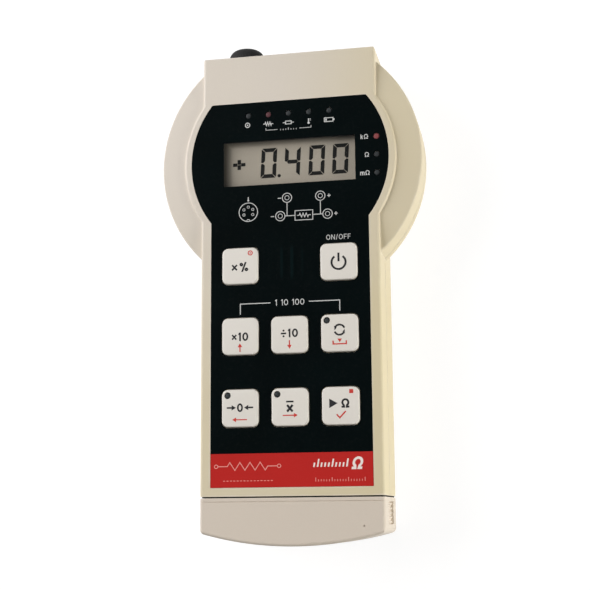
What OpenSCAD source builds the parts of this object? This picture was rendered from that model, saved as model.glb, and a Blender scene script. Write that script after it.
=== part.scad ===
// Handheld micro ohmmeter, lying on its back with its test sockets towards +Y.
// A round head carries the display, a straight grip carries the keys, and an end cap closes the battery bay.
// Origin: on the surface under the back, below the middle of the whole outline. Inside the modules, Y counts
// from the centre of the round head, and Z from the back of the case. Lengths are in millimetres.

/* [Case] */
// Depth of the case from its back to its deck
body_d = 36; // [35:0.5:40]
// Width of the grip
grip_w = 74; // [73:0.5:78]
// Width of the square block that stands across the head
block_w = 72.8; // [72:0.2:76]
// Radius of the round head at its rim
head_r = 54.6; // [52:0.2:58]
// Radius of the raised deck round the display
ridge_r = 44.35; // [43.6:0.05:46]
// From the centre of the head to the socket end
top_l = 46.3; // [45:0.1:50]
// From the centre of the head to the joint of the end cap
gap_l = 136.4; // [135:0.1:142]
// Wall of both shells
wall = 2.2; // [1.8:0.1:2.5]
// Height of the parting line above the back
split_h = 20.5; // [18.5:0.5:22]
// Rounding of the edges of the deck
edge_r = 1.2; // [0.6:0.1:1.6]
// Rounding of the long edges of the back
back_r = 3; // [2:0.5:4]
// Depth of the shoulder's inner foot below the deck
foot_drop = 1.4; // [1.3:0.1:1.8]
// Depth of the shoulder's outer crest below the deck
crest_drop = 2.8; // [2:0.1:3.4]
// Rounding of the rim at the crest
rim_r = 0.8; // [0.5:0.1:1.6]
// Height at which the rim's wall turns in towards the back
rim_h = 15.5; // [13:0.5:17]
// Radius of the flat back of the head
back_flat_r = 49; // [45:0.5:50]
// Width and depth of the groove along the parting line
seam_w = 0.5; // [0.3:0.1:0.8]

/* [End cap] */
// Length of the end cap at its sides
cap_side_l = 13.7; // [12.6:0.1:18]
// Bow of the end of the cap beyond its sides
cap_bow = 5.1; // [4:0.1:7]
// Wall of the end cap
cap_wall = 1.8; // [1.4:0.1:2.0]
// Width of the seal that shows between case and cap
seal_w = 0.6; // [0.4:0.1:1]
// Length of the neck that the cap slides over
neck_l = 6; // [4:0.5:8]

/* [Front panel] */
// Thickness of the black panel
panel_t = 0.5; // [0.3:0.1:0.8]
// Deck that shows beside the panel on the grip
panel_side = 4.25; // [3.6:0.05:5]
// Deck that shows round the panel on the head
panel_ring = 3; // [2.4:0.1:4]
// From the centre of the head to the panel's upper edge
panel_top = 25.6; // [24:0.1:28]
// Deck that shows between the panel and the joint of the end cap
panel_foot = 3.4; // [2.5:0.1:6]
// Width of the display window
window_w = 55.2; // [52:0.2:57]
// Height of the display window
window_h = 18.9; // [17:0.1:20]
// Middle of the display window, from the centre of the head
window_y = -0.55; // [-1.5:0.05:0.5]

/* [Keys] */
// Width of a square key
key_w = 15.2; // [14:0.1:16]
// Corner radius of a key
key_r = 2.5; // [1.5:0.1:3.5]
// Pitch of the key columns
key_pitch_x = 20.32; // [19.8:0.02:20.6]
// Pitch of the key rows
key_pitch_y = 28.92; // [27:0.02:29.4]
// From the centre of the head to the first row of keys
key_row = 43.8; // [43:0.1:45]
// Height of the keys above the panel
key_proud = 1; // [0.6:0.1:1.6]
// Travel of a key
key_travel = 0.6; // [0.3:0.1:0.7]
// Clearance round a key in the panel
key_gap = 0.25; // [0.15:0.05:0.4]

/* [Lamps] */
// Radius of an indicator lamp
lamp_r = 1.2; // [0.9:0.1:1.4]
// Pitch of the five mode lamps
lamp_pitch = 8.5; // [7.5:0.1:9]
// From the centre of the head to the row of mode lamps
lamp_row = 20; // [18.8:0.1:21]
// Distance of the unit lamps from the centre line
unit_lamp_x = 36.4; // [35:0.1:37.4]
// Pitch of the three unit lamps
unit_lamp_pitch = 7.62; // [6:0.02:8.6]
// Radius of the lamp in the corner of a key
key_lamp_r = 1.05; // [0.8:0.05:1.1]

/* [Sockets] */
// Bore radius of a test socket, for a 4 mm plug
plug_r = 2.05; // [1.95:0.01:2.2]
// Pitch between the two columns of test sockets
socket_pitch_x = 19; // [18:0.1:20]
// Pitch between the two rows of test sockets
socket_pitch_z = 13.4; // [13:0.1:14]
// Middle of the test sockets, from the centre line
socket_x = 7.5; // [5:0.1:8.5]
// Depth of a test socket's well
well_l = 17; // [14:0.5:18]
// Bore radius of the temperature probe socket
probe_r = 6.7; // [6.2:0.1:7]
// Distance of the probe socket from the centre line
probe_x = 21; // [20.6:0.1:22]
// Depth of the probe socket's axis below the deck
probe_drop = 15; // [14:0.1:18]
// Radius of the probe socket's dust cap
dust_r = 8; // [7.4:0.1:8.4]
// Height of the dust cap beyond the socket end
dust_l = 7.5; // [6:0.1:10]
// Rounding of the dust cap's nose
dust_nose = 4; // [2:0.1:5]

/* [Battery bay] */
// Radius of a battery cell
cell_r = 7.25; // [6.9:0.05:7.3]
// Length of a battery cell without its tip
cell_l = 49; // [47:0.5:50]
// Number of battery cells side by side
cell_n = 4; // [2:1:4]

/* [Hidden] */
// Round surfaces
$fn = 96;
// One overrun for every cut
over = 1;
// Clearance between parts that are only laid or pushed together
fit = 0.1;
// Depth by which a post or rib runs into its wall
root = wall / 2;

// Places along the case
cap_l = cap_side_l + cap_bow;
tail_l = gap_l + seal_w + cap_l;
nose_l = top_l + dust_l;
head_y = (tail_l - nose_l) / 2;
grip_hw = grip_w / 2;
block_hw = block_w / 2;

// Heights of the head's shoulder
crest_z = body_d - crest_drop;
foot_z = body_d - foot_drop;
deck_low = body_d - wall;
floor_z = body_d - panel_t;

// Half the widest reach of the case, for cuts that take in all of it
case_hw = max(head_r, back_flat_r) + over;

// The bowed end of the cap is one arc through its corners
bow_r = (grip_hw * grip_hw + cap_bow * cap_bow) / (2 * cap_bow);
bow_y = -tail_l + bow_r;
cap_corner = 2.5;
cap_mouth = gap_l + seal_w;
neck_fit = 0.2;
neck_t = 1.6;
neck_root = 4;
neck_inset = cap_wall + neck_fit;
seal_inset = 0.8;
cap_line_w = 0.3;
cap_line_l = 1.3;
corner_r = 1.5;

// Ribbed thumb grips in the sides of the end cap
thumb_l = 9;
thumb_h = 15;
thumb_d = 1;
thumb_n = 5;
thumb_rib_r = 0.5;
thumb_gap = 1.6;
gate_r = 0.4;
gate_x = 28.8;
gate_l = 7.7;

// Front panel
panel_hw = grip_hw - panel_side;
panel_arc = ridge_r - panel_ring;
panel_end = gap_l - panel_foot;
panel_fit = 0.1;

// Clear window and display under it
lens_t = 1;
lens_rim = 1.6;
light_rim = 0.6;
glass_t = 2.7;
glass_rim_x = 1;
glass_rim_y = 3.6;
frame_t = 1;
frame_lip = 1;
strip_w = 1.8;

// Keys and the board that carries them
board_t = 1.6;
board_drop = 5.5;
board_z = deck_low - board_drop;
flange_w = 0.8;
flange_t = 1;
stem_r = 1.75;
well_r = 2.05;
switch_w = 7;
switch_h = 3.1;
dome_r = 1.9;
dome_t = 0.4;
flange_z = deck_low - fit;
stem_z = board_z + dome_t + key_travel + fit;
key_lamp_share = 0.675;
key_lamp_off = key_lamp_share * key_w / 2;
key_lamp_gap = 0.3;
lamp_gap = 0.15;
lamp_base_t = 1;
lamp_base_w = 0.3;
key_top = body_d + key_proud;

// Posts and screws
post_r = 3.2;
post_gap = 0.4;
screw_r = 1.5;
screw_head_r = 2.75;
screw_head_t = 2.4;
screw_sink = 0.5;
screw_bore_r = 1.7;
screw_end_gap = 5.3;
screw_l = deck_low - screw_sink - screw_end_gap;
thread_gap = 0.05;
cross_w = 0.7;
cross_l = 3;
cross_d = 1.2;
small_post_r = 2.5;
small_screw_r = 1;
small_head_r = 1.9;
small_head_t = 1.6;
small_screw_l = 6;
head_post_x = grip_hw - post_r + 0.7 * screw_r;
head_post_y = 20.6;
grip_post_x = grip_hw - wall - post_r + post_gap;
grip_post_y = -88;
case_posts = [[head_post_x, head_post_y], [-head_post_x, head_post_y],
              [grip_post_x, grip_post_y], [-grip_post_x, grip_post_y]];

// Outline of the front board
board_hw = grip_post_x - post_r - post_gap;
board_head_hw = window_w / 2 + glass_rim_x + frame_t;
board_lip = 1.9;
board_top = lamp_row + board_lip;
board_waist = 24;
board_edge = 3;
tab_lip = 3.5;
board_tab_h = 2 * (unit_lamp_pitch + tab_lip);
board_post_x = 3 * lamp_pitch;
board_post_y = board_top - small_post_r - board_edge / 2;
board_posts = [[board_post_x, board_post_y],
               [-board_post_x, board_post_y],
               [key_pitch_x / 2, -key_row - key_pitch_y / 2],
               [-key_pitch_x / 2, -key_row - key_pitch_y / 2],
               [0, -key_row - 2.5 * key_pitch_y]];

// Place of each key, across from the middle column and down from the first row
key_places = [[-key_pitch_x, 0], [key_pitch_x, 0],
              [-key_pitch_x, key_pitch_y], [0, key_pitch_y], [key_pitch_x, key_pitch_y],
              [-key_pitch_x, 2 * key_pitch_y], [0, 2 * key_pitch_y], [key_pitch_x, 2 * key_pitch_y]];
// Numbers of the first and the last key with a lamp
first_lit_n = 4;
last_lit_n = 6;

// Socket end
plate_t = 2;
groove_d = 1;
lip_t = 0.9;
lip_inset = 0.8;
plate_out = top_l - lip_t - fit;
plate_in = plate_out - plate_t;
socket_low_z = body_d / 2 - socket_pitch_z / 2;
socket_flange_r = 6.2;
socket_flange_t = 0.8;
barrel_r = 5.4;
shroud_r = 4.4;
hole_gap = 0.1;
back_t = 2.5;
tube_r = 3;
tube_bore_l = 14;
tube_sink = 1.5;
tail_r = 1.5;
tail_len = 4.5;
nut_r = 6.9;
nut_t = 2.2;
barrel_end = plate_out + socket_flange_t - well_l - back_t;
tail_end = barrel_end - tail_len;
wire_r = 0.8;
wire_in = 1.5;

// Probe socket
probe_z = body_d - probe_drop;
probe_flange_r = 9.2;
probe_barrel_r = 8;
probe_barrel_l = 12;
probe_nut_r = 9.8;
probe_nut_t = 2.5;
probe_well = 5;
insert_l = 6;
insert_t = 1.2;
pin_ring_r = 3.6;
pin_r = 1;
pin_bore_r = 0.75;
pin_n = 5;
pin_step = 60;
key_slot_r = 0.9;
spigot_gap = 0.2;
spigot_l = 4;

// Main board and what stands on it
main_hw = 30;
main_gap = 1.1;
main_top = barrel_end - main_gap;
main_l = 105.5;
main_drop = 4;
main_z = body_d / 2 - main_drop;
main_face = main_z + board_t;
tall_gap = 2.1;
tall_h = board_z - board_t - main_face - tall_gap;
main_posts = [[26, -6], [-26, -6], [26, -76], [-26, -76]];
chip_w = 13;
chip_t = 1.8;
chip_y = -26;
adc_w = 10;
adc_l = 16;
adc_y = -4;
relay_w = 9;
relay_l = 19;
relay_step = 0.5;
relay_h = tall_h - relay_step;
relay_n = 3;
relay_pitch = 11;
relay_x = -14;
relay_y = -60;
shunt_w = 9;
shunt_l = 24;
shunt_step = 2;
shunt_h = tall_h - shunt_step;
shunt_x = 8;
shunt_y = -62;
sink_w = 5;
sink_l = 24;
sink_x = 24;
sink_y = -52;
sink_fin_n = 5;
sink_fin_w = 1.2;
sink_base_t = 1.6;
chip_pack_w = 4.6;
chip_pack_l = 10;
chip_pack_step = 1;
chip_pack_h = tall_h - chip_pack_step;
can_r = 4;
can_pitch = 9.5;
can_x = 22;
can_y = -34;
can_n = 2;
header_w = 3;
header_l = 24;
header_x = -26;
header_y = -54;
fuse_r = 2.6;
fuse_l = 20;
fuse_lift = 3.4;
fuse_x = 6;
fuse_y = -44;
clip_w = 5;
clip_t = 0.5;
clip_h = 6;

// Battery bay
cell_gap = 0.4;
cell_pitch = 2 * cell_r + cell_gap;
tip_r = 2.75;
tip_l = 1.5;
spring_l = 3;
spring_r = 3.4;
spring_top_r = 2.2;
spring_t = 0.8;
contact_t = 0.4;
tray_wall = 1.2;
tray_fit = 0.15;
tray_floor = 1.15;
tray_z = neck_inset + neck_t + fit;
tray_in_l = cell_l + tip_l + spring_l + 2 * contact_t;
tray_l = tray_in_l + 2 * tray_wall;
tray_end = cap_mouth + cap_side_l - cap_wall - tray_wall + fit;
tray_hw = cell_n * cell_pitch / 2 + tray_wall / 2;
cell_z = tray_z + tray_floor + cell_r + tray_fit;
tray_end_h = main_face - tray_z;
rail_w = 2;
rail_x = tray_hw - 2 * rail_w;
rail_end = gap_l - neck_root + root;
lead_x = 22;

case_col = [0.80, 0.76, 0.69];
black_col = [0.04, 0.05, 0.06];
key_col = [0.86, 0.84, 0.81];
board_col = [0.10, 0.36, 0.22];
brass_col = [0.80, 0.66, 0.32];
steel_col = [0.72, 0.73, 0.75];

// Moves a piece from the head's centre to its place in the frame
module at_head() {
    translate([0, head_y, 0]) children();
}

// Section across the case, rounded at the back by low_r and at the deck by high_r
module section(hw, z0, z1, low_r, high_r) {
    translate([-hw, z0 + low_r]) square([2 * hw, z1 - high_r - z0 - low_r]);
    translate([-(hw - high_r), z1 - 2 * high_r]) square([2 * (hw - high_r), 2 * high_r]);
    translate([-(hw - low_r), z0]) square([2 * (hw - low_r), 2 * low_r]);
    for (side = [-1, 1]) {
        translate([side * (hw - high_r), z1 - high_r]) circle(r = high_r);
        translate([side * (hw - low_r), z0 + low_r]) circle(r = low_r);
    }
}

// Straight length of the case from y0 up to y1
module bar(y0, y1, hw, inset) {
    translate([0, y1, 0])
        rotate([90, 0, 0])
            linear_extrude(height = y1 - y0)
                section(hw - inset, inset, body_d - inset, back_r, edge_r);
}

// The same length with sharp corners, for rooms and openings
module plain_bar(y0, y1, hw, inset) {
    translate([-(hw - inset), y0, inset]) cube([2 * (hw - inset), y1 - y0, body_d - 2 * inset]);
}

// Cutter that rounds a sharp edge running along X, at y and z, facing up or down
module edge_cutter(r, l, y, z, up) {
    translate([-l / 2, y - r, z - up * r])
        rotate([90, 0, 90])
            linear_extrude(height = l)
                difference() {
                    translate([0, up > 0 ? 0 : -r - over]) square(r + over);
                    circle(r = r);
                }
}

// Solid form of the whole case without the end cap
module case_form() {
    difference() {
        union() {
            bar(-gap_l, 0, grip_hw, 0);
            bar(-over, top_l, block_hw, 0);
            rotate_extrude() {
                square([ridge_r, body_d - edge_r]);
                square([ridge_r - edge_r, body_d]);
                translate([ridge_r - edge_r, body_d - edge_r]) circle(r = edge_r);
            }
            rotate_extrude() {
                polygon([[0, 0], [back_flat_r, 0], [head_r, rim_h], [head_r, crest_z - rim_r],
                         [head_r - rim_r, crest_z], [ridge_r - rim_r, foot_z], [0, foot_z]]);
                translate([head_r - rim_r, crest_z - rim_r]) circle(r = rim_r);
            }
        }
        translate([-case_hw, top_l, -over]) cube([2 * case_hw, case_hw, body_d + 2 * over]);
        edge_cutter(edge_r, block_w + 2 * over, top_l, body_d, 1);
        edge_cutter(back_r, block_w + 2 * over, top_l, 0, -1);
        for (side = [-1, 1])
            translate([side * (block_hw - corner_r), top_l - corner_r, -over])
                linear_extrude(height = body_d + 2 * over)
                    difference() {
                        translate([side > 0 ? 0 : -corner_r - over, 0]) square(corner_r + over);
                        circle(r = corner_r);
                    }
    }
}

// Room inside the two shells
module case_room() {
    difference() {
        union() {
            plain_bar(-gap_l - over, 0, grip_hw, wall);
            plain_bar(-over, top_l - wall, block_hw, wall);
            translate([0, 0, split_h]) cylinder(r = ridge_r - wall, h = deck_low - split_h);
            rotate_extrude()
                polygon([[0, wall], [back_flat_r - wall, wall], [head_r - wall, rim_h],
                         [head_r - wall, crest_z - wall], [ridge_r - rim_r, foot_z - wall],
                         [0, foot_z - wall]]);
        }
        translate([-case_hw, top_l - wall, 0]) cube([2 * case_hw, case_hw, body_d]);
    }
}

// Neck that stands out of the case for the end cap
module neck() {
    difference() {
        plain_bar(-(gap_l + neck_l), -(gap_l - neck_root), grip_hw, neck_inset);
        plain_bar(-(gap_l + neck_l + over), -(gap_l - neck_root - over), grip_hw, neck_inset + neck_t);
    }
}

// Groove and opening for the socket plate
module plate_pocket() {
    translate([-(block_hw - wall + groove_d), plate_in - fit, wall - groove_d])
        cube([2 * (block_hw - wall + groove_d), plate_t + 2 * fit, body_d - 2 * (wall - groove_d)]);
    plain_bar(plate_in, top_l + over, block_hw, wall + lip_inset);
    for (i = [0:3])
        at_socket(i) translate([0, 0, plate_out]) cylinder(r = socket_flange_r + hole_gap, h = lip_t + over);
}

// Everything below the parting line, and everything above it
module below_split() {
    translate([-case_hw, -tail_l, -over]) cube([2 * case_hw, tail_l + nose_l, split_h + over]);
}

module above_split() {
    translate([-case_hw, -tail_l, split_h]) cube([2 * case_hw, tail_l + nose_l, body_d - split_h + over]);
}

// Square with round corners, from z0 upwards
module key_block(w, r, z0, h) {
    translate([0, 0, z0])
        linear_extrude(height = h) {
            square([w, w - 2 * r], center = true);
            square([w - 2 * r, w], center = true);
            for (sx = [-1, 1], sy = [-1, 1])
                translate([sx * (w / 2 - r), sy * (w / 2 - r)]) circle(r = r);
        }
}

module at_key(i) {
    translate([key_places[i][0], -key_row - key_places[i][1], 0]) children();
}

module at_key_lamp(i) {
    at_key(i) translate([-key_lamp_off, key_lamp_off, 0]) children();
}

// Lamp places in the panel
module at_mode_lamps() {
    for (i = [-2:2])
        translate([i * lamp_pitch, lamp_row, 0]) children();
}

module at_unit_lamps() {
    for (i = [-1:1])
        translate([unit_lamp_x, i * unit_lamp_pitch, 0]) children();
}

// Holes that the lamps and keys need in the panel and in the deck
module panel_holes(z0, z1) {
    for (i = [0:len(key_places) - 1])
        at_key(i) key_block(key_w + 2 * key_gap, key_r + key_gap, z0, z1 - z0);
    at_mode_lamps() translate([0, 0, z0]) cylinder(r = lamp_r + lamp_gap, h = z1 - z0);
    at_unit_lamps() translate([0, 0, z0]) cylinder(r = lamp_r + lamp_gap, h = z1 - z0);
}

module window_hole(grow, z0, z1) {
    translate([-window_w / 2 - grow, window_y - window_h / 2 - grow, z0])
        cube([window_w + 2 * grow, window_h + 2 * grow, z1 - z0]);
}

// Outline of the black panel, pulled in by inset
module panel_outline(inset) {
    difference() {
        circle(r = panel_arc - inset);
        translate([-panel_arc, panel_top - inset]) square(2 * panel_arc);
    }
    translate([-(panel_hw - inset), -panel_end + inset]) square([2 * (panel_hw - inset), panel_end - inset]);
}

module screw_cross(z0, depth) {
    for (turn = [0, 90])
        rotate(turn) translate([-cross_l / 2, -cross_w / 2, z0]) cube([cross_l, cross_w, depth]);
}

module front_shell() {
    color(case_col) at_head() difference() {
        union() {
            difference() {
                case_form();
                case_room();
            }
            neck();
            for (p = case_posts)
                translate([p[0], p[1], split_h]) cylinder(r = post_r, h = deck_low + root - split_h);
            for (p = board_posts)
                translate([p[0], p[1], board_z]) cylinder(r = small_post_r, h = board_drop + root);
        }
        below_split();
        plate_pocket();
        translate([0, 0, floor_z]) linear_extrude(height = panel_t + over) panel_outline(0);
        panel_holes(deck_low - over, body_d);
        window_hole(light_rim, deck_low - over, body_d);
        window_hole(lens_rim + fit, floor_z - lens_t, body_d);
        for (p = case_posts)
            translate([p[0], p[1], 0]) cylinder(r = screw_r + thread_gap, h = screw_sink + screw_l + over);
        for (p = board_posts)
            translate([p[0], p[1], 0])
                cylinder(r = small_screw_r + thread_gap, h = board_z - board_t + small_screw_l + fit);
    }
}

module rear_shell() {
    color(case_col) at_head() difference() {
        union() {
            difference() {
                case_form();
                case_room();
            }
            neck();
            for (p = case_posts)
                translate([p[0], p[1], root]) cylinder(r = post_r, h = split_h - root);
            for (p = main_posts)
                translate([p[0], p[1], root]) cylinder(r = small_post_r, h = main_z - root);
            for (side = [-1, 1])
                translate([side * rail_x - rail_w / 2, -rail_end, root])
                    cube([rail_w, rail_end - tray_end + tray_l, tray_z - fit - root]);
        }
        above_split();
        plate_pocket();
        difference() {
            translate([-case_hw, -gap_l - over, split_h - seam_w])
                cube([2 * case_hw, gap_l + nose_l, seam_w + over]);
            plain_bar(-gap_l - 2 * over, 0, grip_hw, seam_w);
            plain_bar(-over, top_l - seam_w, block_hw, seam_w);
            difference() {
                cylinder(r = head_r - seam_w, h = body_d);
                translate([-case_hw, top_l - seam_w, 0]) cube([2 * case_hw, case_hw, body_d]);
            }
        }
        for (p = case_posts)
            translate([p[0], p[1], -over]) {
                cylinder(r = screw_bore_r, h = split_h + 2 * over);
                cylinder(r = screw_head_r + fit, h = screw_sink + screw_head_t + over);
            }
        for (p = main_posts)
            translate([p[0], p[1], main_face - small_screw_l - fit])
                cylinder(r = small_screw_r + thread_gap, h = small_screw_l + over);
    }
}

// Solid form of the end cap, pulled in by inset
module cap_form(inset) {
    mouth = inset > 0 ? cap_mouth - over : cap_mouth;
    hw = grip_hw - inset;
    r = max(cap_corner - inset, fit);
    arc_r = bow_r - inset;
    corner_x = hw - r;
    corner_y = bow_y - sqrt((arc_r - r) * (arc_r - r) - corner_x * corner_x);
    intersection() {
        if (inset > 0) plain_bar(-tail_l - over, -mouth, grip_hw, inset);
        else bar(-tail_l - over, -mouth, grip_hw, 0);
        linear_extrude(height = body_d + over) {
            difference() {
                translate([0, bow_y]) circle(r = arc_r, $fn = 4 * $fn);
                for (side = [-1, 1])
                    translate([side * corner_x, corner_y])
                        polygon([[0, 0], [side * grip_hw, 0], [side * grip_hw, -grip_hw],
                                 [side * grip_hw * corner_x / (arc_r - r),
                                  grip_hw * (corner_y - bow_y) / (arc_r - r)]]);
            }
            for (side = [-1, 1])
                translate([side * corner_x, corner_y]) circle(r = r);
        }
    }
}

module end_cap() {
    color(case_col) at_head() difference() {
        cap_form(0);
        cap_form(cap_wall);
        translate([0, bow_y, body_d - edge_r])
            rotate_extrude($fn = 4 * $fn)
                translate([bow_r - edge_r, 0])
                    difference() {
                        square(edge_r + over);
                        circle(r = edge_r);
                    }
        translate([0, bow_y, back_r])
            rotate_extrude($fn = 4 * $fn)
                translate([bow_r - back_r, 0])
                    difference() {
                        translate([0, -back_r - over]) square(back_r + over);
                        circle(r = back_r);
                    }
        translate([-grip_hw, -cap_mouth - cap_line_l - cap_line_w, body_d - cap_line_w])
            cube([grip_w, cap_line_w, cap_line_w + over]);
        for (side = [-1, 1])
            difference() {
                translate([side * grip_hw - thumb_d, -cap_mouth - thumb_gap - thumb_l,
                           (body_d - thumb_h) / 2])
                    cube([2 * thumb_d, thumb_l, thumb_h]);
                for (i = [0:thumb_n - 1])
                    translate([side * (grip_hw - thumb_d),
                               -cap_mouth - thumb_gap - (i + 0.5) * thumb_l / thumb_n, 0])
                        cylinder(r = thumb_rib_r, h = body_d);
            }
        translate([gate_x, -tail_l + gate_l, body_d - cap_line_w]) cylinder(r = gate_r, h = over);
    }
}

module cap_seal() {
    color(black_col) at_head() difference() {
        plain_bar(-cap_mouth + fit, -gap_l, grip_hw, seal_inset);
        plain_bar(-cap_mouth - over, -gap_l + over, grip_hw, neck_inset - fit / 2);
    }
}

module front_panel() {
    color(black_col) at_head() difference() {
        translate([0, 0, floor_z]) linear_extrude(height = panel_t) panel_outline(panel_fit);
        panel_holes(floor_z - over, body_d + over);
        window_hole(0, floor_z - over, body_d + over);
    }
}

module display_window() {
    color([0.75, 0.82, 0.85, 0.4]) at_head()
        window_hole(lens_rim, floor_z - lens_t, floor_z);
}

// Display glass size, from the window that it fills
module glass_block(grow, z0, h) {
    translate([-window_w / 2 - glass_rim_x - grow, window_y - window_h / 2 - glass_rim_y - grow, z0])
        cube([window_w + 2 * (glass_rim_x + grow), window_h + 2 * (glass_rim_y + grow), h]);
}

glass_z = deck_low - fit - frame_lip - fit - glass_t;

module display_frame() {
    color([0.2, 0.2, 0.22]) at_head() difference() {
        glass_block(frame_t, board_z, deck_low - fit - board_z);
        glass_block(fit, board_z - over, over + deck_low - fit - frame_lip - board_z);
        window_hole(light_rim, board_z, body_d);
    }
}

module display_glass() {
    color([0.62, 0.62, 0.54]) at_head() glass_block(0, glass_z, glass_t);
}

module contact_strips() {
    color([0.75, 0.55, 0.6]) at_head()
        for (side = [-1, 1])
            translate([-window_w / 2,
                       window_y + side * (window_h / 2 + glass_rim_y - strip_w) - strip_w / 2, board_z])
                cube([window_w, strip_w, glass_z - board_z]);
}

// One key: cap, flange under the deck and stem down to its switch
module key(i) {
    lit = i >= first_lit_n && i <= last_lit_n;
    color(key_col) at_head() difference() {
        at_key(i) {
            key_block(key_w, key_r, flange_z - flange_t, key_top - flange_z + flange_t);
            key_block(key_w + 2 * flange_w, key_r, flange_z - flange_t, flange_t);
            translate([0, 0, stem_z]) cylinder(r = stem_r, h = flange_z - stem_z);
        }
        if (lit) at_key_lamp(i) cylinder(r = key_lamp_r + key_lamp_gap, h = key_top + over);
    }
}

module key_coefficient() { key(0); }
module key_power() { key(1); }
module key_up() { key(2); }
module key_down() { key(3); }
module key_auto() { key(4); }
module key_zero() { key(5); }
module key_average() { key(6); }
module key_measure() { key(7); }

module key_switches() {
    color([0.15, 0.15, 0.16]) at_head()
        for (i = [0:len(key_places) - 1])
            at_key(i) difference() {
                translate([-switch_w / 2, -switch_w / 2, board_z]) cube([switch_w, switch_w, switch_h]);
                translate([0, 0, board_z - over]) cylinder(r = well_r, h = switch_h + 2 * over);
            }
}

module key_domes() {
    color(steel_col) at_head()
        for (i = [0:len(key_places) - 1])
            at_key(i) translate([0, 0, board_z]) cylinder(r = dome_r, h = dome_t);
}

// One lamp from the board up to top_z
module lamp(r, top_z) {
    translate([0, 0, board_z]) {
        cylinder(r = r + lamp_base_w, h = lamp_base_t);
        cylinder(r = r, h = top_z - board_z);
    }
}

module mode_lamps() {
    color([0.35, 0.2, 0.2]) at_head() at_mode_lamps() lamp(lamp_r, body_d - fit);
}

module unit_lamps() {
    color([0.7, 0.25, 0.25]) at_head() at_unit_lamps() lamp(lamp_r, body_d - fit);
}

module key_lamps() {
    color([0.25, 0.22, 0.22]) at_head()
        for (i = [first_lit_n:last_lit_n])
            at_key_lamp(i) lamp(key_lamp_r, key_top - fit);
}

module front_board() {
    color(board_col) at_head() difference() {
        translate([0, 0, board_z - board_t]) linear_extrude(height = board_t) {
            translate([-board_head_hw, -board_waist]) square([2 * board_head_hw, board_waist + board_top]);
            translate([-board_hw, -panel_end]) square([2 * board_hw, panel_end]);
            translate([0, -board_tab_h / 2]) square([unit_lamp_x + board_edge, board_tab_h]);
        }
        for (p = board_posts)
            translate([p[0], p[1], 0]) cylinder(r = small_screw_r + fit, h = body_d);
        for (p = case_posts)
            translate([p[0], p[1], 0]) cylinder(r = post_r + post_gap - fit, h = body_d);
    }
}

// Small round-head screw, head down when up is 1 and head up when up is -1
module small_screw(z, up) {
    translate([0, 0, z]) mirror([0, 0, up > 0 ? 0 : 1]) difference() {
        union() {
            translate([0, 0, -small_head_t]) cylinder(r = small_head_r, h = small_head_t);
            cylinder(r = small_screw_r, h = small_screw_l);
        }
        translate([0, 0, -small_head_t - over]) screw_cross(0, over + small_head_t / 2);
    }
}

module front_board_screws() {
    color(steel_col) at_head()
        for (p = board_posts)
            translate([p[0], p[1], 0]) small_screw(board_z - board_t, 1);
}

module main_board() {
    color(board_col) at_head() difference() {
        translate([-main_hw, main_top - main_l, main_z]) cube([2 * main_hw, main_l, board_t]);
        for (p = main_posts)
            translate([p[0], p[1], 0]) cylinder(r = small_screw_r + fit, h = body_d);
    }
}

module main_board_screws() {
    color(steel_col) at_head()
        for (p = main_posts)
            translate([p[0], p[1], 0]) small_screw(main_face, -1);
}

// Rectangular block that stands on the main board, centred at x and y
module on_board(x, y, w, l, h) {
    translate([x - w / 2, y - l / 2, main_face]) cube([w, l, h]);
}

module board_header() {
    color(black_col) at_head()
        on_board(header_x, header_y, header_w, header_l, board_z - board_t - main_face);
}

module processor_chip() {
    color(black_col) at_head() on_board(0, chip_y, chip_w, chip_w, chip_t);
}

module converter_chip() {
    color(black_col) at_head() on_board(0, adc_y, adc_l, adc_w, chip_t);
}

module range_relays() {
    color([0.85, 0.83, 0.78]) at_head()
        for (i = [0:relay_n - 1])
            on_board(relay_x, relay_y + i * relay_pitch, relay_l, relay_w, relay_h);
}

module current_shunt() {
    color([0.82, 0.8, 0.74]) at_head() on_board(shunt_x, shunt_y, shunt_w, shunt_l, shunt_h);
}

module heat_sink() {
    color(steel_col) at_head() {
        on_board(sink_x, sink_y, sink_base_t, sink_l, tall_h);
        for (i = [0:sink_fin_n - 1])
            on_board(sink_x + sink_w / 2, sink_y + (i / (sink_fin_n - 1) - 0.5) * (sink_l - sink_fin_w),
                     sink_w, sink_fin_w, tall_h);
    }
}

module output_transistor() {
    color(black_col) at_head()
        on_board(sink_x - (sink_base_t + chip_pack_w) / 2, sink_y, chip_pack_w, chip_pack_l, chip_pack_h);
}

module capacitors() {
    color([0.15, 0.2, 0.35]) at_head()
        for (i = [0:can_n - 1])
            translate([can_x, can_y + i * can_pitch, main_face]) cylinder(r = can_r, h = tall_h);
}

module fuse() {
    color(steel_col) at_head()
        translate([fuse_x - fuse_l / 2, fuse_y, main_face + fuse_lift])
            rotate([0, 90, 0]) cylinder(r = fuse_r, h = fuse_l);
}

module fuse_clips() {
    color(brass_col) at_head()
        for (side = [-1, 1])
            difference() {
                on_board(fuse_x + side * (fuse_l - clip_w) / 2, fuse_y,
                         clip_w, 2 * (fuse_r + clip_t), clip_h);
                translate([fuse_x - fuse_l, fuse_y, main_face + fuse_lift])
                    rotate([0, 90, 0]) cylinder(r = fuse_r + fit / 2, h = 2 * fuse_l);
                translate([fuse_x - fuse_l, fuse_y - fuse_r - fit / 2, main_face + fuse_lift])
                    cube([2 * fuse_l, 2 * fuse_r + fit, clip_h]);
            }
}

// Centre line of each cell across the tray
function cell_x(i) = (i - (cell_n - 1) / 2) * cell_pitch;

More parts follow.
